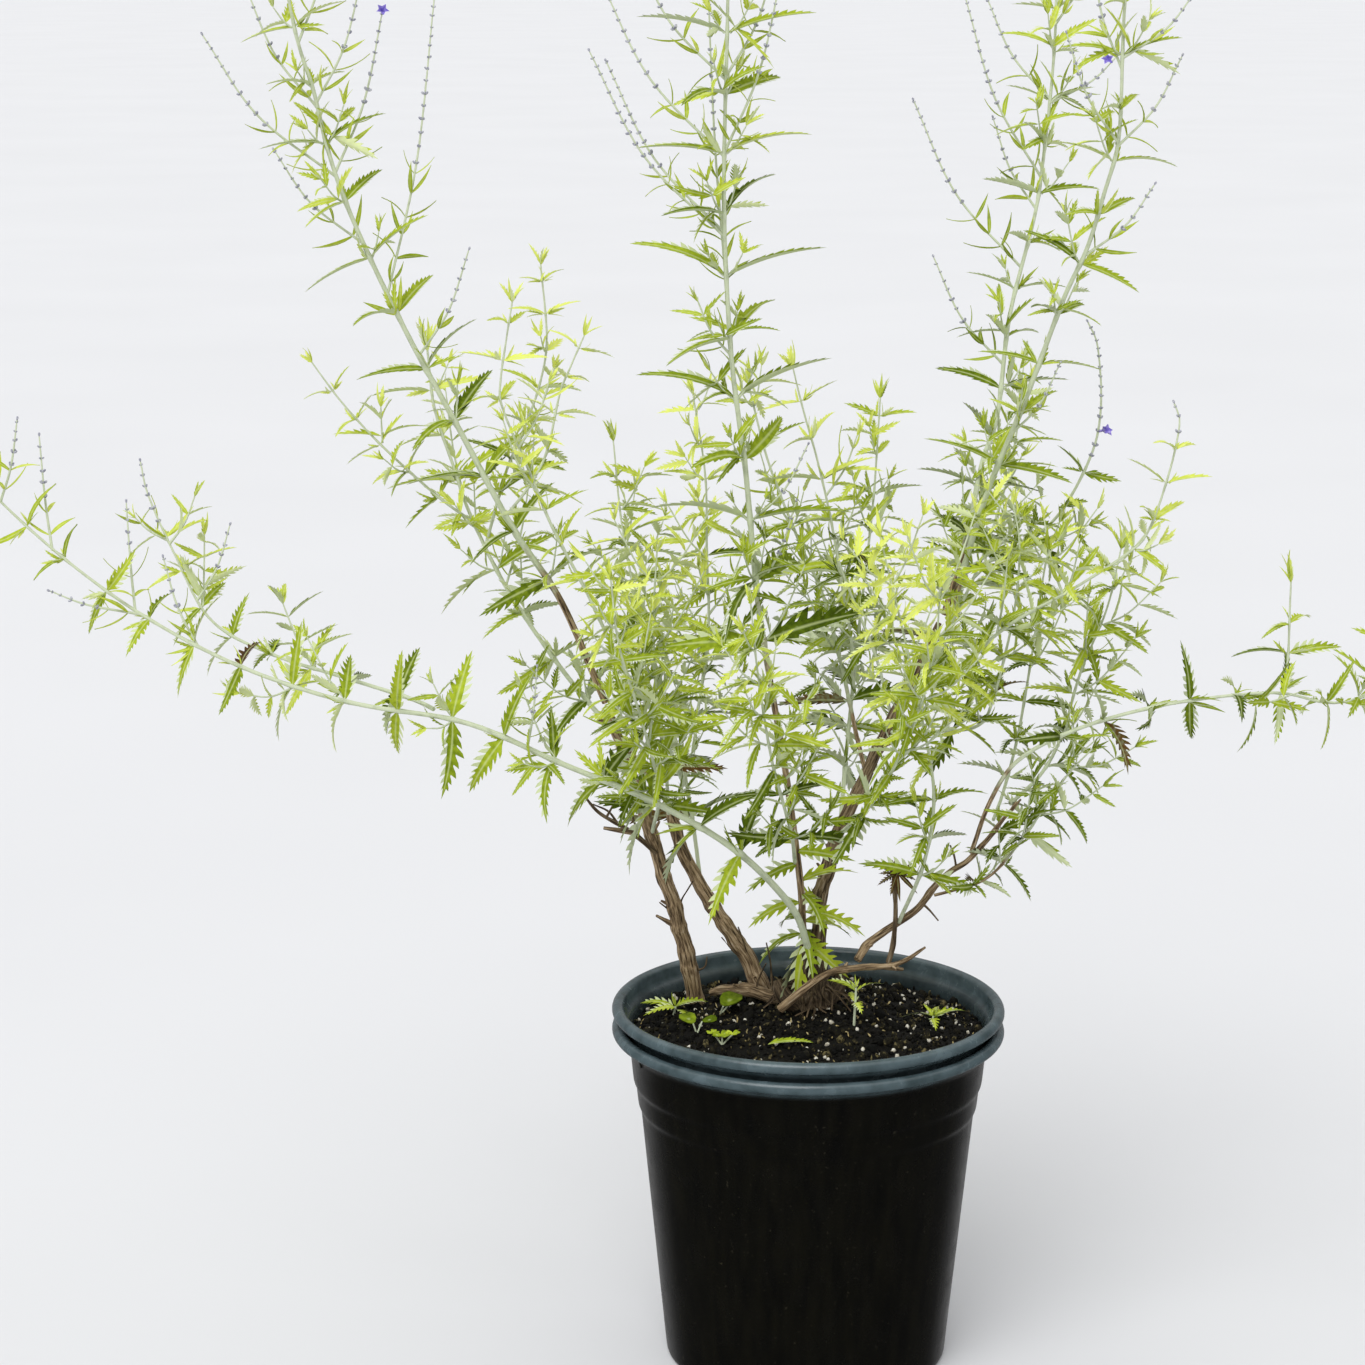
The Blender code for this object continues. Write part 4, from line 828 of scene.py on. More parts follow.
def skin_rings(bm, rings):
    """Walls between each ring of points and the next."""
    count = len(rings[0])
    for a, b in zip(rings, rings[1:]):
        for k in range(count):
            bm.faces.new((a[k], b[k], b[(k + 1) % count], a[(k + 1) % count]))


def keep_shape(bm, name, family, under=(), **numbers):
    """Puts a small shape into its family's hidden collection, as a smooth mesh with its vertex numbers.
    under is the faces of a leaf's paler lower side."""
    bmesh.ops.recalc_face_normals(bm, faces=bm.faces)
    for face in bm.faces:
        face.smooth = True
    for edge in bm.edges:
        edge.smooth = edge.calc_face_angle(0.0) < SHARP_FROM
    mesh = bpy.data.meshes.new(name)
    bm.faces.index_update()
    below = {face.index for face in under}
    bm.to_mesh(mesh)
    bm.free()
    sides = [1.0 if k in below else 0.0 for k in range(len(mesh.polygons))]
    mesh.attributes.new("under", "FLOAT", "FACE").data.foreach_set("value", sides)
    for label, values in numbers.items():
        layer = mesh.attributes.new(label, "FLOAT", "POINT")
        layer.data.foreach_set("value", values)
    family.objects.link(bpy.data.objects.new(name, mesh))


def leaf_shape(name, family, teeth, width, cut, gap, bend, fold, seed):
    """One thin closed leaf: an upper and a lower skin that meet along a margin of forward teeth.
    cut is how far the notches reach in, and gap the share of each tooth's length that they take.
    bend is (lift, droop, twist), which curve it along its length."""
    chance = random.Random(seed)
    bm = bmesh.new()
    vein = []
    thick = 0.011
    lift, droop, twist = bend

    def vertex(s, y, layer, rib):
        up = lift * s - droop * s * s + fold * abs(y) + layer * thick * (1 - 0.6 * s)
        turned = twist * s
        vein.append(rib)
        return bm.verts.new((s * (1.0 - 0.06 * droop), y * math.cos(turned), up + y * math.sin(turned)))

    def reach(s):
        swell = math.sin(math.pi * min(1.0, 0.05 + 0.95 * s) ** 0.72)
        return width * (1.12 - 0.3 * s) * max(0.0, swell) ** 0.85 + 0.008

    steps = [chance.uniform(0.75, 1.25) * (1.2 - 0.45 * k / teeth) for k in range(teeth)]
    marks = [0.09]
    for step in steps:
        marks.append(marks[-1] + 0.91 * step / sum(steps))
    ribs = [(vertex(s, 0.0, 1, 1.0), vertex(s, 0.0, -1, 1.0)) for s in marks[:-1]]
    tip = vertex(1.0, 0.0, 0, 0.5)
    stalk = vertex(0.0, 0.0, 0, 1.0)
    under = []
    for side in (1, -1):
        notches = [vertex(s, side * reach(s) * (1 - cut), 0, 0.15) for s in marks[:-1]]
        outlines = []
        for near, far in zip(marks, marks[1:-1]):
            step = far - near
            lean = (0.1 + 0.5 * cut) * step
            out = side * reach(0.5 * (near + far)) * chance.uniform(0.8, 1.16)
            outline = [vertex(near + 0.45 * step + 0.6 * lean, 0.86 * out, 0, 0.0)]
            outline.append(vertex(far - gap * step + lean, out, 0, 0.0))
            if gap > 0.0:
                foot = far - gap * step
                outline.append(vertex(foot, side * reach(foot) * (1 - cut), 0, 0.15))
            outlines.append(outline)
        for layer in (0, 1):
            skin = [bm.faces.new((stalk, ribs[0][layer], notches[0]))]
            for k, outline in enumerate(outlines):
                ring = (ribs[k][layer], ribs[k + 1][layer], notches[k + 1], *reversed(outline), notches[k])
                skin.append(bm.faces.new(ring))
            skin.append(bm.faces.new((ribs[-1][layer], tip, notches[-1])))
            under += skin if layer else []
    keep_shape(bm, name, family, under=under, vein=vein)


def sickle_shape(name, family, width, arch, droop):
    """One small leaf with an uncut margin, curved like a sickle."""
    bm = bmesh.new()
    vein = []
    rows = []
    for k in range(6):
        s = 0.06 + 0.94 * k / 5
        half = width * math.sin(math.pi * min(0.985, 0.1 + 0.9 * s) ** 0.9)
        lift = arch * s - droop * s * s
        row = [(s, -half, 0.25 * half), (s, 0, 0.014), (s, half, 0.25 * half), (s, 0, -0.014)]
        rows.append([bm.verts.new((x, y, z + lift)) for x, y, z in row])
        vein += [0.0, 1.0, 0.0, 1.0]
    foot = bm.verts.new((0, 0, 0))
    vein.append(1.0)
    for k in range(4):
        bm.faces.new((foot, rows[0][k], rows[0][(k + 1) % 4]))
    skin_rings(bm, rows)
    bm.faces.new(rows[-1])
    keep_shape(bm, name, family, vein=vein)


def bud_shape(name, family, flare):
    """A calyx: a ribbed bag on a short stalk, open at its mouth when flare is above 1."""
    bm = bmesh.new()
    sides = 6
    rings = []
    for s, r in ((0.0, 0.09), (0.25, 0.2), (0.55, 0.29), (0.85, 0.23), (1.0, 0.13 * flare)):
        ring = []
        for k in range(sides):
            angle = math.tau * k / sides
            wave = 1.0 + 0.1 * (k % 2)
            ring.append(bm.verts.new((s, r * wave * math.cos(angle), r * wave * math.sin(angle))))
        rings.append(ring)
    skin_rings(bm, rings)
    bm.faces.new(rings[0])
    bm.faces.new(rings[-1])
    keep_shape(bm, name, family)


def flower_shape(name, family):
    """A two-lipped corolla: a tube that opens into four upper lobes and a longer lower lip."""
    bm = bmesh.new()
    sides = 10
    rings = []
    tube = (0.0, 0.06, 0.0), (0.35, 0.09, 0.0), (0.55, 0.15, -0.02)
    mouth = (0.7, 0.26, -0.05), (0.86, 0.36, -0.1)
    for s, r, lean in tube + mouth:
        ring = []
        for k in range(sides):
            angle = math.tau * k / sides
            lobe = 1.0 + (0.3 if s > 0.6 else 0.0) * math.cos(5 * angle)
            lip = 0.22 * s * s * max(0.0, -math.sin(angle))
            place = (s + lip, r * lobe * math.cos(angle), r * lobe * math.sin(angle) + lean)
            ring.append(bm.verts.new(place))
        rings.append(ring)
    inner = [bm.verts.new((v.co.x - 0.03, v.co.y * 0.9, v.co.z * 0.9)) for v in rings[-1]]
    throat = [bm.verts.new((0.4, v.co.y * 0.2, v.co.z * 0.2)) for v in rings[-1]]
    rings += [inner, throat]
    skin_rings(bm, rings)
    bm.faces.new(rings[0])
    bm.faces.new(rings[-1])
    keep_shape(bm, name, family)


def crumb_shape(name, family, seed, stretch, rings=1):
    """A broken lump of mix, of fibre or of perlite."""
    chance = random.Random(seed)
    bm = bmesh.new()
    bmesh.ops.create_icosphere(bm, subdivisions=rings, radius=0.5)
    for vertex in bm.verts:
        vertex.co *= chance.uniform(0.72, 1.15)
        vertex.co.x *= stretch
        vertex.co.z *= 0.8
    keep_shape(bm, name, family)


def trefoil_shape(name, family, notch):
    """A round leaflet, heart-shaped where it is notched."""
    bm = bmesh.new()
    vein = []
    count = 10
    rims = []
    for layer in (0.02, -0.02):
        middle = bm.verts.new((0.45, 0, layer - 0.04))
        vein.append(1.0)
        rim = []
        for k in range(count):
            angle = math.tau * k / count - math.pi
            bite = notch * math.exp(-((angle / 0.5) ** 2))
            x = 0.5 + (0.5 - bite) * math.cos(angle)
            y = 0.46 * math.sin(angle) * (0.55 + 0.45 * x)
            rim.append(bm.verts.new((x, y, layer + 0.1 * abs(y))))
            vein.append(0.0)
        for k in range(count):
            bm.faces.new((middle, rim[k], rim[(k + 1) % count]))
        rims.append(rim)
    for k in range(count):
        bm.faces.new((rims[0][k], rims[0][(k + 1) % count], rims[1][(k + 1) % count], rims[1][k]))
    keep_shape(bm, name, family, vein=vein)


def make_families():
    """Collections of small shapes, kept out of the scene. The trees pick from them by number."""
    kinds = ("leaves", "buds", "flowers", "crumbs", "fibres", "perlite", "trefoils")
    families = {kind: bpy.data.collections.new(kind + "_family") for kind in kinds}
    leaves = families["leaves"]
    # 0-2 toothed, 3-5 cut, 6-7 sickle, 8-9 young, 10-11 lobed nearly to the midrib
    for k, bend in enumerate(((0.16, 0.26, 0.25), (0.3, 0.34, -0.3), (0.05, 0.22, 0.1))):
        leaf_shape(f"leaf_0{k}_toothed", leaves, 10, 0.088, 0.4, 0.0, bend, 0.4, k)
    for k, bend in enumerate(((0.2, 0.36, 0.3), (0.34, 0.44, -0.25), (0.1, 0.3, 0.6))):
        leaf_shape(f"leaf_0{k + 3}_cut", leaves, 8, 0.132, 0.56, 0.16, bend, 0.3, k + 3)
    sickle_shape("leaf_06_sickle", leaves, 0.07, 0.02, -0.42)
    sickle_shape("leaf_07_sickle", leaves, 0.082, 0.3, 0.36)
    leaf_shape("leaf_08_young", leaves, 6, 0.095, 0.42, 0.0, (0.25, 0.2, 0.3), 0.4, 8)
    leaf_shape("leaf_09_young", leaves, 6, 0.115, 0.52, 0.12, (0.05, 0.14, -0.4), 0.35, 9)
    leaf_shape("leaf_10_lobed", leaves, 7, 0.2, 0.64, 0.26, (0.2, 0.5, 0.4), 0.2, 10)
    leaf_shape("leaf_11_lobed", leaves, 6, 0.18, 0.6, 0.22, (0.3, 0.55, -0.5), 0.25, 12)
    for k, flare in enumerate((0.5, 1.2)):
        bud_shape(f"bud_{k}", families["buds"], flare)
    flower_shape("flower_0", families["flowers"])
    for k, stretch in enumerate((1.0, 1.3, 1.0, 1.7)):
        crumb_shape(f"crumb_{k}", families["crumbs"], k, stretch)
    for k, stretch in enumerate((3.2, 5.0, 2.2)):
        crumb_shape(f"fibre_{k}", families["fibres"], k + 20, stretch)
    for k in range(3):
        crumb_shape(f"perlite_{k}", families["perlite"], k + 40, 1.1, rings=2)
    trefoil_shape("trefoil_0_notched", families["trefoils"], 0.2)
    trefoil_shape("trefoil_1_round", families["trefoils"], 0.05)
    return families


# ---------------------------------------------------------------- growth


def spot(foot, along, normal, size, kind, tint):
    """Where one small piece stands: its foot, turn, length, number in its family and colour."""
    across = normal.cross(along).normalized()
    upright = along.cross(across).normalized()
    turn = Matrix((along.normalized(), across, upright)).transposed().to_euler("XYZ")
    return foot, turn, size, kind, tint


def points_mesh(name, spots):
    """Loose points that carry each spot's turn, size, kind and tint."""
    mesh = bpy.data.meshes.new(name)
    mesh.from_pydata([foot * MM for foot, *_ in spots], [], [])
    turns = [angle for _, angles, *_ in spots for angle in angles]
    mesh.attributes.new("turn", "FLOAT_VECTOR", "POINT").data.foreach_set("vector", turns)
    for label, sort, column in (("size", "FLOAT", 2), ("kind", "INT", 3), ("tint", "FLOAT", 4)):
        layer = mesh.attributes.new(label, sort, "POINT")
        layer.data.foreach_set("value", [found[column] for found in spots])
    return mesh


def set_out(name, spots, family, finish):
    """Small pieces of a family, one at each spot."""
    values = {"Family": FAMILIES[family], "Growth": MM, "Finish": FINISHES[finish]}
    return run_tree(points_mesh(name, spots), TREES["setting"], name, **values)


def lines_mesh(name, lines):
    """Polylines as loose edges; each line is a list of (point, thickness, age)."""
    mesh = bpy.data.meshes.new(name)
    beads = [bead for line in lines for bead in line]
    edges = []
    start = 0
    for line in lines:
        edges += [(start + k, start + k + 1) for k in range(len(line) - 1)]
        start += len(line)
    mesh.from_pydata([point * MM for point, _, _ in beads], edges, [])
    for label, column in (("thick", 1), ("age", 2)):
        layer = mesh.attributes.new(label, "FLOAT", "POINT")
        factor = MM if label == "thick" else 1.0
        layer.data.foreach_set("value", [bead[column] * factor for bead in beads])
    return mesh


def tapered(points, thick, loss, age):
    """A line whose thickness falls by loss from foot to tip."""
    count = len(points) - 1
    return [(point, thick - loss * k / count, age) for k, point in enumerate(points)]


def bars(name, lines, sides, depth, width):
    """Round stems along the lines, with lengthwise ridges of the given depth and width in mm."""
    values = {"Sides": sides, "Ridge_Depth": depth * MM, "Ridge_Width": width * MM}
    return run_tree(lines_mesh(name, lines), TREES["bars"], name, **values, Finish=FINISHES["stem"])


def joined(name, things):
    """One object from several, each keeping its own finish."""
    for thing in bpy.context.selected_objects:
        thing.select_set(False)
    for thing in things:
        thing.select_set(True)
    bpy.context.view_layer.objects.active = things[0]
    bpy.ops.object.join()
    things[0].name = name
    things[0].data.name = name
    return things[0]


def in_leaf(name, lines, sides, ridges, **spots):
    """Stalks with the leaves, buds and flowers that they carry, as one piece."""
    things = [bars(name + "_stalks", lines, sides, *ridges)]
    for family, found in spots.items():
        if found:
            things.append(set_out(f"{name}_{family}", found, family, WORN_BY[family]))
    return joined(name + "_in_leaf", things)


def leaf_at(frame, rise, length, kind, tint, chance, roll=16.0, face=0.0):
    """A leaf that leaves its stem at a rise in degrees, rolled a little about its own midrib.
    face turns its upper side from the stem's direction, at 0, to the open front, at 1."""
    foot, out, tangent = frame
    angle = math.radians(rise)
    along = out * math.cos(angle) + tangent * math.sin(angle)
    lit = tangent.lerp(FRONT, face * chance.uniform(0.0, 1.3))
    normal = Matrix.Rotation(math.radians(chance.gauss(0, roll)), 3, along) @ lit
    return spot(foot, along, normal, length, kind, tint)


def tuft(foot, tangent, count, size, tint, chance, spread=62.0):
    """Small young leaves that crowd a node or a tip."""
    found = []
    for k in range(count):
        turn = Matrix.Rotation(chance.uniform(0, math.tau), 3, tangent)
        side = turn @ tangent.orthogonal().normalized()
        lean = math.radians(90 - chance.uniform(0.35, 1.0) * spread)
        along = (side * math.cos(lean) + tangent * math.sin(lean)).normalized()
        kind = chance.choice((6, 9, 8, 9, 8))
        normal = (tangent - 0.2 * side + Vector((0, -chance.uniform(0, 1.2), 0))).normalized()
        aged = tint + chance.uniform(-0.1, 0.1)
        found.append(spot(foot, along, normal, size * chance.uniform(0.6, 1.1), kind, aged))
    return found


def whorls(points, start, chance, bloom):
    """Rings of buds up a spike, closer and smaller towards its tip. One flower is open at the
    share of the spike that bloom gives."""
    buds = []
    flowers = []
    lengths = route_lengths(points)
    distance = start
    while distance < lengths[-1] - 0.5:
        share = (distance - start) / max(lengths[-1] - start, 1.0)
        foot, out, tangent = side_frame(points, lengths, distance, chance.uniform(0, 360))
        count = 4 if share < 0.5 else 3
        for k in range(count):
            side = Matrix.Rotation(math.tau * k / count + chance.uniform(-0.3, 0.3), 3, tangent) @ out
            along = (side + tangent * chance.uniform(0.7, 1.6)).normalized()
            size = (BUD_LENGTH - 1.0 * share) * chance.uniform(0.65, 1.2)
            kind = chance.choice((0, 1))
            buds.append(spot(foot + side * 0.2, along, tangent, size, kind, chance.random()))
        if bloom is not None and share >= bloom:
            along = (Vector((0.7 * out.x, -0.8, 0.1)) + 0.3 * tangent).normalized()
            flowers.append(spot(foot + along * 1.2, along, tangent, FLOWER_LENGTH, 0, 0.0))
            bloom = None
        distance += (WHORL_GAP - 3.2 * share) * chance.uniform(0.8, 1.2)
    foot = points[-1]
    buds.append(spot(foot, tangent, tangent.orthogonal(), 2.2, 0, 0.5))
    return buds, flowers


def side_shoot(points, look, tint, bloom, chance):
    """The leaves, buds and flowers of one side shoot."""
    lengths = route_lengths(points)
    total = lengths[-1]
    leaves = []
    spike = look["flowering"] and total > SPIKE_FROM
    leafy = LEAFY_SHARE * total if spike else total - 3.0
    distance = 7.0
    turn = chance.choice((0.0, 60.0))
    while distance < leafy:
        share = distance / total
        length = (20.0 - 8.0 * share if spike else 27.0 - 12.0 * share) * chance.uniform(0.74, 1.1)
        for half in (0.0, 180.0):
            frame = side_frame(points, lengths, distance, turn + half + chance.uniform(-18, 18))
            kind = chance.choice((6, 6, 7) if spike else (8, 9, 8, 6))
            aged = tint + chance.uniform(-0.08, 0.1)
            leaves.append(leaf_at(frame, chance.uniform(10, 38), length, kind, aged, chance, 24.0, 0.25))
        turn = 60.0 - turn
        distance += chance.uniform(9.0, 13.0)
    if spike:
        buds, flowers = whorls(points, leafy + 2.0, chance, bloom)
        return leaves, buds, flowers
    foot, _, tangent = side_frame(points, lengths, total - 1.0, 0.0)
    leaves += tuft(foot, tangent, 5, 11.0, tint + 0.1, chance, 40.0)
    return leaves, [], []


def axil_shoot(foot, lean, length, tint, chance):
    """A short leafy shoot that has grown out of a leaf's axil."""
    tip = foot + lean * length + Vector((0, 0, 0.25 * length))
    points = smooth_route([foot, foot + lean * 0.45 * length, tip], 3.0)
    lengths = route_lengths(points)
    total = lengths[-1]
    leaves = []
    distance = 4.0
    turn = chance.choice((0.0, 70.0))
    while distance < total - 2.0:
        size = (29.0 - 9.0 * distance / total) * chance.uniform(0.7, 1.15) * min(1.0, 0.6 + total / 60.0)
        for half in (0.0, 180.0):
            frame = side_frame(points, lengths, distance, turn + half + chance.uniform(-18, 18))
            kind = chance.choice((8, 9, 0, 3, 1))
            aged = tint + chance.uniform(-0.12, 0.12)
            leaves.append(leaf_at(frame, chance.uniform(0, 36), size, kind, aged, chance, 34.0, 0.3))
        turn = 70.0 - turn
        distance += chance.uniform(7.5, 11.0)
    ahead = (points[-1] - points[-2]).normalized()
    leaves += tuft(points[-1], ahead, 4, 13.0, tint + 0.08, chance, 45.0)
    return tapered(points, 0.62, 0.25, GREEN), leaves


def stem_age(look, distance):
    """1 where the stem is bark, 0 where it is green."""
    if look["bark"] <= 0:
        return 0.0
    return max(0.0, min(1.0, 1.35 - distance / look["bark"]))


def between(pair, share):
    """The value a share of the way from the first of a pair to the second."""
    return pair[0] + (pair[1] - pair[0]) * share


def stem_line(points, lengths, radii, look, nodes):
    """The stem itself, a little swollen where leaves stand."""
    foot_radius, tip_radius = radii
    line = []
    for point, distance in zip(points, lengths):
        radius = foot_radius + (tip_radius - foot_radius) * distance / lengths[-1]
        swell = sum(math.exp(-(((distance - node) / NODE_REACH) ** 2)) for node in nodes)
        line.append((point, radius * (1.0 + NODE_SWELL * min(swell, 1.0)), stem_age(look, distance)))
    return line


def stem_leaf(frame, length, share, tint, low_down, look, chance):
    """One leaf of a pair on the stem itself."""
    rise = chance.uniform(2, 24) - look["droop"]
    kind = chance.choice((0, 1, 2) if length > 28 else (8, 9, 1))
    if low_down:
        kind = chance.choice(look["kinds"])
        rise -= chance.uniform(0, 14)
    if share > look["uncut"]:
        kind = chance.choice((6, 7))
    odd = low_down and chance.random() < ODD_SHARE
    aged = chance.choice(ODD_TINTS) if odd else tint
    aged += chance.gauss(-0.03, 0.12) if low_down else chance.gauss(0, 0.08)
    if DULL_FROM < aged < LIVING_FROM:
        aged = LIVING_FROM
    roll = 30.0 if low_down else 18.0
    return leaf_at(frame, rise, length, kind, aged, chance, roll, look["face"])


def axil_growth(frame, length, tint, low_down, look, chance):
    """What has grown from the bud in a leaf's axil: a short shoot, or just a few small leaves."""
    foot, side, tangent = frame
    axil = foot + side * 1.4
    lean = (tangent + side * 0.9).normalized()
    if chance.random() < look["axil"] * (1.3 if low_down else 0.7):
        reach = chance.uniform(15, 42) if low_down else chance.uniform(9, 22)
        bar, leaves = axil_shoot(axil, lean, reach, tint + 0.08, chance)
        return [bar], leaves
    return [], tuft(axil, lean, chance.choice((1, 2, 3)), 0.5 * length, tint + 0.12, chance)


def grow(name, stem):
    """One leafy stem with its side shoots, as one piece."""
    look = {**PLAIN, **LOOKS.get(name, {})}
    chance = random.Random(name)
    points = smooth_route([Vector(p) for p in stem.route], STEM_STEP)
    lengths = route_lengths(points)
    total = lengths[-1]
    radii = [GREEN_SLENDER * radius for radius in stem.radii]
    first, spacing, low, high, turn = stem.leaves
    turn = min(turn, PAIR_TURN)
    nodes = []
    distance = first
    while distance < total - look["spike"] - 6.0:
        nodes.append(distance + chance.uniform(-1.0, 1.0))
        distance += spacing * (1.0 - 0.25 * distance / total)
    lines = [stem_line(points, lengths, radii, look, nodes)]
    leaves = []
    buds = []
    flowers = []
    for at, to, fall, size, kind in look["low"]:
        frame = side_frame(points, lengths, at, to)
        leaves.append(leaf_at(frame, -fall, size, kind, chance.uniform(0.5, 0.72), chance, 20.0, 0.35))
    for index, (at, *offset) in enumerate(stem.shoots):
        foot = point_at(points, lengths, min(at, total - 2.0))
        bar = shoot_points(foot, offset)
        lines.append(tapered(bar, 0.78, 0.4, GREEN))
        tint = between(look["tint"], at / total) + 0.06
        grown = side_shoot(bar, look, tint, look["blooms"].get(index), chance)
        for found, more in zip((leaves, buds, flowers), grown):
            found += more
    for node in nodes:
        share = (node - first) / max(total - first, 1.0)
        length = (low + (TIP_GROWTH * high - low) * share) * chance.uniform(0.86, 1.1)
        tint = between(look["tint"], share)
        low_down = point_at(points, lengths, node).z < LOW_ZONE
        for half in (0.0, 180.0):
            frame = side_frame(points, lengths, node, turn + half + chance.uniform(-12, 12))
            leaves.append(stem_leaf(frame, length, share, tint, low_down, look, chance))
            shoots, more = axil_growth(frame, length, tint, low_down, look, chance)
            lines += shoots
            leaves += more
        turn = PAIR_TURN - turn
    if look["spike"]:
        more, open_ones = whorls(points, total - look["spike"], chance, look["blooms"].get("tip"))
        buds += more
        flowers += open_ones
    else:
        foot, _, tangent = side_frame(points, lengths, total - 0.5, 0.0)
        leaves += tuft(foot, tangent, 6, 0.75 * high, look["tint"][1] + 0.08, chance, 42.0)
    sides = 10 if radii[0] > 2.0 else 8
    thing = in_leaf(name, lines, sides, (0.35, 1.1), leaves=leaves, buds=buds, flowers=flowers)
    return finished(thing, name)


def finished(thing, node):
    """Ties a piece to the solid it stands for."""
    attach(thing, "root")
    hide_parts(node)
    return thing


def woody(name, stem):
    """A lignified piece, knotted and fissured, with any stubs that it keeps."""
    chance = random.Random(name)
    points = smooth_route([Vector(p) for p in stem.route], WOOD_STEP)
    lengths = route_lengths(points)
    total = lengths[-1]
    knots = [chance.uniform(0.05, 0.97) * total for _ in range(max(3, int(total / 22)))]
    foot_radius, tip_radius = (SLENDER.get(name, 1.0) * radius for radius in stem.radii)
    line = []
    for point, distance in zip(points, lengths):
        radius = foot_radius + (tip_radius - foot_radius) * distance / total
        swell = sum(math.exp(-(((distance - knot) / 3.4) ** 2)) for knot in knots)
        radius *= 1.0 + 0.16 * min(swell, 1.2)
        radius *= 1.0 - 0.45 * max(0.0, distance / total - 0.6) * (name in SLENDER)
        radius *= 1.0 - 2.4 * max(0.0, distance / total - 0.86)
        wander = Vector(noise.noise_vector(point * 0.06)) * 0.35 * radius * min(1.0, distance / 12.0)
        line.append((point + wander, radius, WEATHER.get(name, BARK)))
    lines = [line]
    for at, *offset in stem.shoots:
        foot = point_at(points, lengths, at)
        lines.append(tapered(smooth_route([foot, foot + Vector(offset)], WOOD_STEP), 1.7, 0.7, BARK))
    for at, *offset in THREADS.get(name, ()):
        foot = point_at(points, lengths, at)
        bow = Vector(noise.noise_vector(foot * 0.1)) * 5.0
        thread = smooth_route([foot, foot + Vector(offset) * 0.5 + bow, foot + Vector(offset)], 2.0)
        lines.append(tapered(thread, 0.75, 0.3, DEAD))
    for knot in knots[: len(knots) // 2]:
        foot, out, tangent = side_frame(points, lengths, knot, chance.uniform(0, 360))
        tip = foot + (out + 0.7 * tangent) * (foot_radius * 1.25 + 1.0)
        lines.append(tapered([foot, foot.lerp(tip, 0.4), foot.lerp(tip, 0.75), tip], 1.2, 0.5, BARK))
    return finished(bars(name + "_bark", lines, 22, 0.34 * foot_radius, 1.5), name)


def crown():
    """The gnarled stump where the canes start, with fine roots into the soil."""
    lines = []
    for route, wide, narrow in [(STUMP, 15.0, 7.0), *((knuckle, 7.5, 3.2) for knuckle in KNUCKLES)]:
        points = smooth_route([Vector(p) for p in route], WOOD_STEP)
        count = len(points) - 1
        line = []
        for k, point in enumerate(points):
            radius = wide + (narrow - wide) * k / count
            radius *= 1.0 + 0.1 * math.sin(0.9 * k) * math.cos(0.37 * k)
            line.append((point, radius, STUMP_BARK))
        lines.append(line)
    chance = random.Random("root_crown")
    fibres = []
    for _ in range(CROWN_FIBRES):
        angle = chance.uniform(0, math.tau)
        out = Vector((math.cos(angle), math.sin(angle), 0))
        foot = Vector((3, 11, chance.uniform(202, 217))) + out * 9.0
        tip = foot + out * chance.uniform(8, 22)
        tip.z = soil_height(tip.x, tip.y) + chance.uniform(0, 5)
        sag = Vector((chance.uniform(-4, 4), chance.uniform(-4, 4), chance.uniform(1, 5)))
        fibre = smooth_route([foot, foot.lerp(tip, 0.5) + sag, tip], 2.0)
        fibres.append(tapered(fibre, 0.85, 0.4, DEAD))
    things = [bars("root_crown_wood", lines, 30, 3.4, 2.4), bars("root_crown_fibres", fibres, 7, 0.1, 1.0)]
    return finished(joined("root_crown_bark", things), "root_crown")


# ---------------------------------------------------------------- pots and bed


def wall_radius(height):
    """The pot's outer radius below its ledge, with its two soft rings."""
    radius = BASE_RADIUS + TAPER * height
    for ring in RING_HEIGHTS:
        radius += RING_STEP / (1.0 + math.exp(-1.3 * (height - ring)))
    return radius


def pot_profile():
    """The wall from the rolled rim down the outside, across the floor and up the inside."""
    outside = []
    for k in range(13):
        angle = math.radians(90 - 200 * k / 12)
        outside.append((BEAD_RADIUS + BEAD * math.cos(angle), BEAD_HEIGHT + BEAD * math.sin(angle)))
    ledge = wall_radius(LEDGE_HEIGHT)
    outside += [(ledge + out, LEDGE_HEIGHT + up) for out, up in ((2.5, 1.3), (1.9, 0.4), (0.6, -0.4))]
    low, high = RING_HEIGHTS
    heights = [182, 175]
    for ring in (high, low):
        heights += [ring + step for step in (4.5, 3.0, 2.0, 1.0, 0.0, -1.0, -2.0, -3.0, -4.5)]
    heights += [130, 100, 70, 40, 15, 5.5, 4.0]
    outside += [(wall_radius(h), h) for h in heights]
    foot = wall_radius(3)
    outside += [(foot - 0.1, 2.6), (foot - 0.6, 1.2), (foot - 1.5, 0.3), (foot - 2.8, 0.0)]
    inside = [(foot - 3.4, FLOOR), (foot - 1.6, 2.0), (wall_radius(4) - WALL, 4.2)]
    inside += [(wall_radius(h) - WALL, h) for h in reversed(heights) if h > 6]
    inside += [(ledge - WALL, LEDGE_HEIGHT + 0.2), (ledge + 0.9, LEDGE_HEIGHT + 1.5)]
    inside += [(BEAD_RADIUS - BEAD + 0.1, BEAD_HEIGHT - 3.0), (BEAD_RADIUS - BEAD, BEAD_HEIGHT + 1.0)]
    inside += [(BEAD_RADIUS - 0.6 * BEAD, BEAD_HEIGHT + 0.8 * BEAD)]
    return [*outside, (0.0, 0.0), (0.0, FLOOR), *inside]


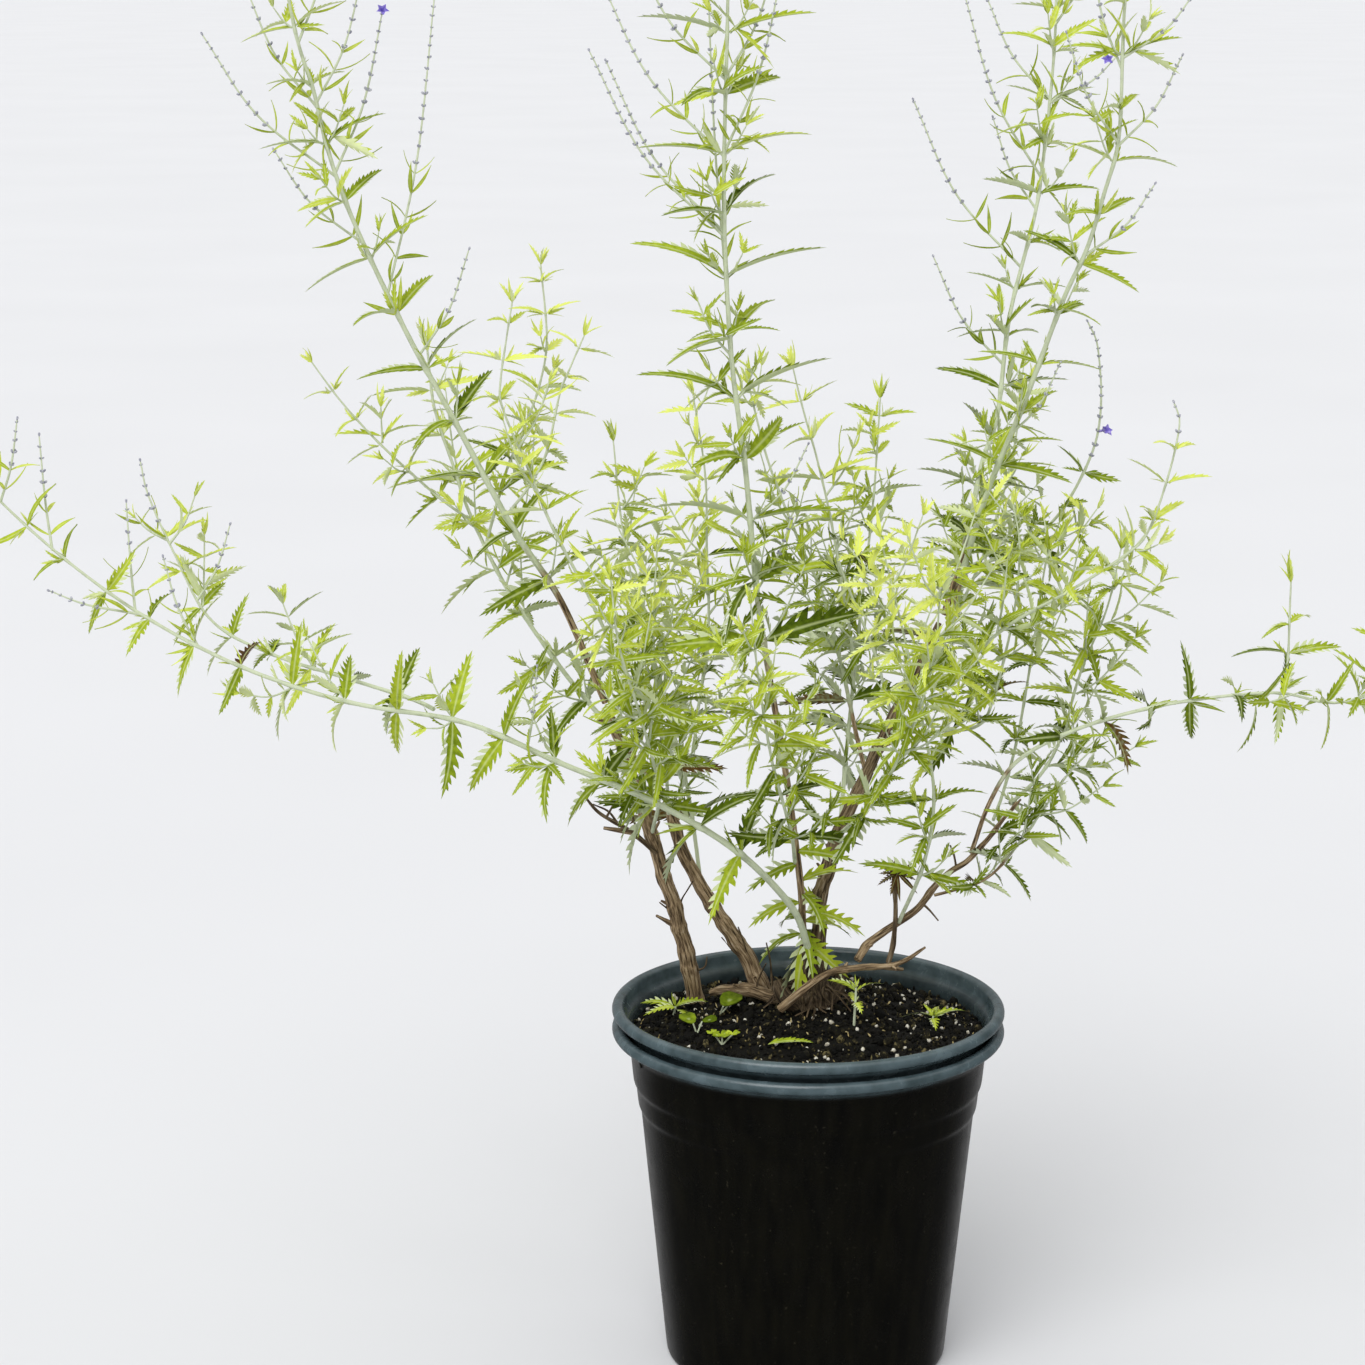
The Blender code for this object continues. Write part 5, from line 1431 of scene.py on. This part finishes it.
def lathe(name, profile, steps):
    """Turns a closed profile about the upright axis."""
    count = len(profile)
    mesh = bpy.data.meshes.new(name)
    pairs = [(k, (k + 1) % count) for k in range(count)]
    pairs = [(a, b) for a, b in pairs if profile[a][0] + profile[b][0] > 0.0]
    mesh.from_pydata([(x * MM, 0.0, z * MM) for x, z in profile], pairs, [])
    thing = placed(name, mesh)
    turn = thing.modifiers.new("turn", "SCREW")
    turn.steps = steps
    turn.render_steps = steps
    turn.use_merge_vertices = True
    turn.merge_threshold = 0.000001
    made = plain_mesh(thing)
    thing.modifiers.clear()
    bm = bmesh.new()
    bm.from_mesh(made)
    bmesh.ops.remove_doubles(bm, verts=bm.verts, dist=0.000002)
    bmesh.ops.recalc_face_normals(bm, faces=bm.faces)
    for face in bm.faces:
        face.smooth = True
    bm.to_mesh(made)
    bm.free()
    thing.data = made
    return thing


def pot(node, lift):
    """One nursery pot with drain holes through its floor."""
    thing = lathe(node + "_moulding", [(x, z + lift) for x, z in pot_profile()], POT_STEPS)
    for k in range(DRAIN_HOLES):
        angle = math.tau * (k + 0.5) / DRAIN_HOLES
        place = (DRAIN_CIRCLE * MM * math.cos(angle), DRAIN_CIRCLE * MM * math.sin(angle), lift * MM)
        punch = {"vertices": 32, "radius": DRAIN_RADIUS * MM, "depth": 0.008}
        bpy.ops.mesh.primitive_cylinder_add(location=place, **punch)
        cutter = bpy.context.object
        cut = thing.modifiers.new("hole", "BOOLEAN")
        cut.solver = "EXACT"
        cut.object = cutter
        thing.data = plain_mesh(thing)
        thing.modifiers.clear()
        bpy.data.objects.remove(cutter, do_unlink=True)
    thing.data.materials.clear()
    thing.data.materials.append(FINISHES["plastic"])
    return finished(thing, node)


def soil_height(x, y):
    """The height of the heaped soil, before its lumps."""
    reach = math.hypot(x, y)
    for (near, high), (far, low) in zip(SOIL_TOP, SOIL_TOP[1:]):
        if reach <= far:
            return high + (low - high) * (reach - near) / (far - near)
    return SOIL_TOP[-1][1]


def bed():
    """The root ball with a lumpy top, strewn with crumbs, fibres and perlite."""
    edge_at = SOIL_TOP[-1][0]
    rings = [edge_at * (1 - k / BED_RINGS) for k in range(BED_RINGS)]
    top = [(x, soil_height(x, 0)) for x in rings] + [(0.0, SOIL_TOP[0][1])]
    profile = [(0.0, SOIL_SIDE[-1][1]), *reversed(SOIL_SIDE[:-1]), *top]
    thing = lathe("potting_mix_bed", profile, 120)
    for vertex in thing.data.vertices:
        x, y, z = (c / MM for c in vertex.co)
        if z > SOIL_TOP[-1][1] - 1.0:
            edge = max(0.0, min(1.0, (edge_at - math.hypot(x, y)) / 4.0))
            lump = sum(high * noise.noise(Vector((x, y, level)) * fine) for high, fine, level in LUMPS)
            vertex.co.z += edge * (lump - 0.6) * MM
    thing.data.materials.append(FINISHES["peat"])
    thing.data.attributes.new("tint", "FLOAT", "POINT")
    things = [thing]
    for family, density, small, large, sink, seed, finish in STREWN:
        values = {"Family": FAMILIES[family], "Per_Square_Metre": density, "Seed": seed}
        values |= {"Smallest": small * MM, "Largest": large * MM, "Sink": sink * MM}
        values["Finish"] = FINISHES[finish]
        things.append(run_tree(thing.data.copy(), TREES["scatter"], f"{family}_{seed}", **values))
    return finished(joined("potting_mix_bed", things), "potting_mix")


# ---------------------------------------------------------------- small plants on the bed


def on_soil(place):
    """The foot of a small plant just under the soil, and its height."""
    x, y, height = place
    return Vector((x, y, soil_height(x, y) - 0.5)), height


def seedling(name, place, leaves):
    """A self-sown sage with its first cut leaves."""
    chance = random.Random(name)
    foot, height = on_soil(place)
    top = foot + Vector((1, 0, height))
    lines = [[(foot.lerp(top, k / 6), 0.8 - 0.03 * k, GREEN) for k in range(7)]]
    up = Vector((0, 0, 1))
    spots = []
    for turn, length, rise, share in leaves:
        out = Vector((math.cos(math.radians(turn)), math.sin(math.radians(turn)), 0))
        frame = (foot.lerp(top, share), out, up)
        kind = chance.choice((10, 11))
        spots.append(leaf_at(frame, rise, length, kind, chance.uniform(0.62, 0.84), chance))
    spots += tuft(top, up, 5, 9.0, 0.72, chance, 70.0)
    return finished(in_leaf(name, lines, 7, (0.05, 1.0), leaves=spots), name)


def weed(name, place, heads):
    """Thread-thin stalks from one root, each with a ring of leaflets."""
    chance = random.Random(name)
    foot, height = on_soil(place)
    lines = []
    spots = []
    for lean_x, lean_y, count, length, kind in heads:
        top = foot + Vector((lean_x, lean_y, height * chance.uniform(0.75, 1.0)))
        lines.append([(foot.lerp(top, k / 5), 0.5, GREEN) for k in range(6)])
        start = chance.uniform(0, 120)
        for k in range(count):
            angle = math.radians(start + 360 * k / count)
            along = Vector((math.cos(angle), math.sin(angle), 0.2)).normalized()
            tint = chance.uniform(0.36, 0.5) if kind else chance.uniform(0.55, 0.75)
            spots.append(spot(top, along, Vector((0, -0.3, 1)).normalized(), length, kind, tint))
    return finished(in_leaf(name, lines, 6, (0.03, 1.0), trefoils=spots), name)


def loose_leaves(name, foot, blades):
    """Leaves that have dropped or died; each blade is (along, normal, length, kind, tint)."""
    spots = [
        spot(Vector(foot), Vector(along).normalized(), Vector(normal).normalized(), length, kind, tint)
        for along, normal, length, kind, tint in blades
    ]
    return finished(set_out(name + "_blade", spots, "leaves", "leaf"), name)


def curled_cluster():
    """Ten shrivelled leaves spread round one point; the dead bud they ring is not drawn."""
    blades = []
    for k in range(10):
        angle = 2.4 * k
        along = (math.cos(angle), -0.45, math.sin(angle) - 0.25)
        normal = (0.3 * math.sin(angle), -0.8, 0.6)
        blades.append((along, normal, 12.0 + 2 * (k % 3), (9, 3, 7)[k % 3], 0.07 + 0.012 * (k % 4)))
    return blades


# ---------------------------------------------------------------- studio


def studio():
    """A pale floor, an even sky with a darker front, and one broad soft lamp."""
    bpy.ops.mesh.primitive_plane_add(size=160.0, location=(0, 0, 0))
    floor = bpy.context.object
    floor.name = "studio_floor"
    floor.visible_glossy = False
    made, tree = new_material("pale_matt_floor", 0.9)
    place = add(tree, "ShaderNodeTexCoord", out="Object")
    tone = add(tree, "ShaderNodeTexNoise", {"Vector": place, "Scale": 1.5})
    colour = add(tree, "ShaderNodeValToRGB", {0: tone}, [(0.0, "#DBDCDE"), (1.0, "#E1E2E4")])
    floor.data.materials.append(wire(made, {"Base Color": colour}))

    world = bpy.data.worlds.new("studio")
    bpy.context.scene.world = world
    world.use_nodes = True
    tree = world.node_tree
    sky = tree.nodes["Background"]
    # Reflections see a dim room in front and a bright wall behind; everything else an even sky
    ray = add(tree, "ShaderNodeLightPath", out="Is Glossy Ray")
    towards = add(tree, "ShaderNodeTexCoord", out="Generated")
    axes = add(tree, "ShaderNodeSeparateXYZ", {0: towards}).node.outputs
    behind = add(tree, "ShaderNodeMapRange", {"Value": axes["Y"], 1: 0.5, 2: 1.0, 3: 0.06, 4: 0.42})
    above = add(tree, "ShaderNodeMapRange", {"Value": axes["Z"], 1: 0.35, 2: 0.9, 3: 0.0, 4: 1.9})
    mirrored = add(tree, "ShaderNodeMath", {0: behind, 1: above}, operation="MAXIMUM")
    strength = add(tree, "ShaderNodeMix", {0: ray, 2: 0.8, 3: mirrored})
    sky.inputs["Color"].default_value = linear("#F8F8F9")
    tree.links.new(strength, sky.inputs["Strength"])

    lamp = bpy.data.lights.new("soft_key", "SUN")
    lamp.energy = 1.75
    lamp.angle = math.radians(40)
    key = bpy.data.objects.new("soft_key", lamp)
    key.rotation_euler = (math.radians(38), math.radians(-18), 0)
    bpy.context.scene.collection.objects.link(key)
    bpy.context.scene.view_settings.view_transform = "Standard"


def camera():
    view = bpy.data.cameras.new("view")
    view.sensor_width = 36.0
    view.lens = 89.67
    view.clip_end = 200.0
    holder = bpy.data.objects.new("view", view)
    holder.location = (-0.071, -1.8401, 0.7972)
    holder.rotation_euler = (math.radians(77.6), 0.0, 0.0)
    bpy.context.scene.collection.objects.link(holder)
    bpy.context.scene.camera = holder


camera()
studio()
TREES = {"bars": bar_tree(), "setting": setting_tree(), "scatter": scatter_tree()}
FINISHES = {
    "plastic": plastic_material(),
    "peat": peat_material(),
    "perlite": perlite_material(),
    "straw": speckled_material("pale_straw_fibre", "#8C7A4A", "#C9B988", 1.5, 0.9),
    "stem": stem_material(),
    "leaf": leaf_material(),
    "bud": speckled_material("felted_calyx", "#7F8090", "#C3C4CC", 1.2, 0.9),
    "petal": speckled_material("violet_petal", "#7F6FCB", "#B0A2E8", 2.0, 0.6),
}
FAMILIES = make_families()

pot("outer_pot", 0.0)
pot("inner_pot", NEST_LIFT)
bed()
crown()
for name, stem in WOOD.items():
    woody(name, stem)
for name, stem in STEMS.items():
    grow(name, stem)
for name, (place, leaves) in SEEDLINGS.items():
    seedling(name, place, leaves)
for name, (place, heads) in WEEDS.items():
    weed(name, place, heads)
fallen = [((1, 0.1, 0.1), (0, -0.2, 1), 26, 0, 0.62)]
loose_leaves("fallen_leaf", (-24, -52, soil_height(24, 52) + 2.0), fallen)
loose_leaves("curled_dead_leaf", (48.8, -13.5, 287), curled_cluster())
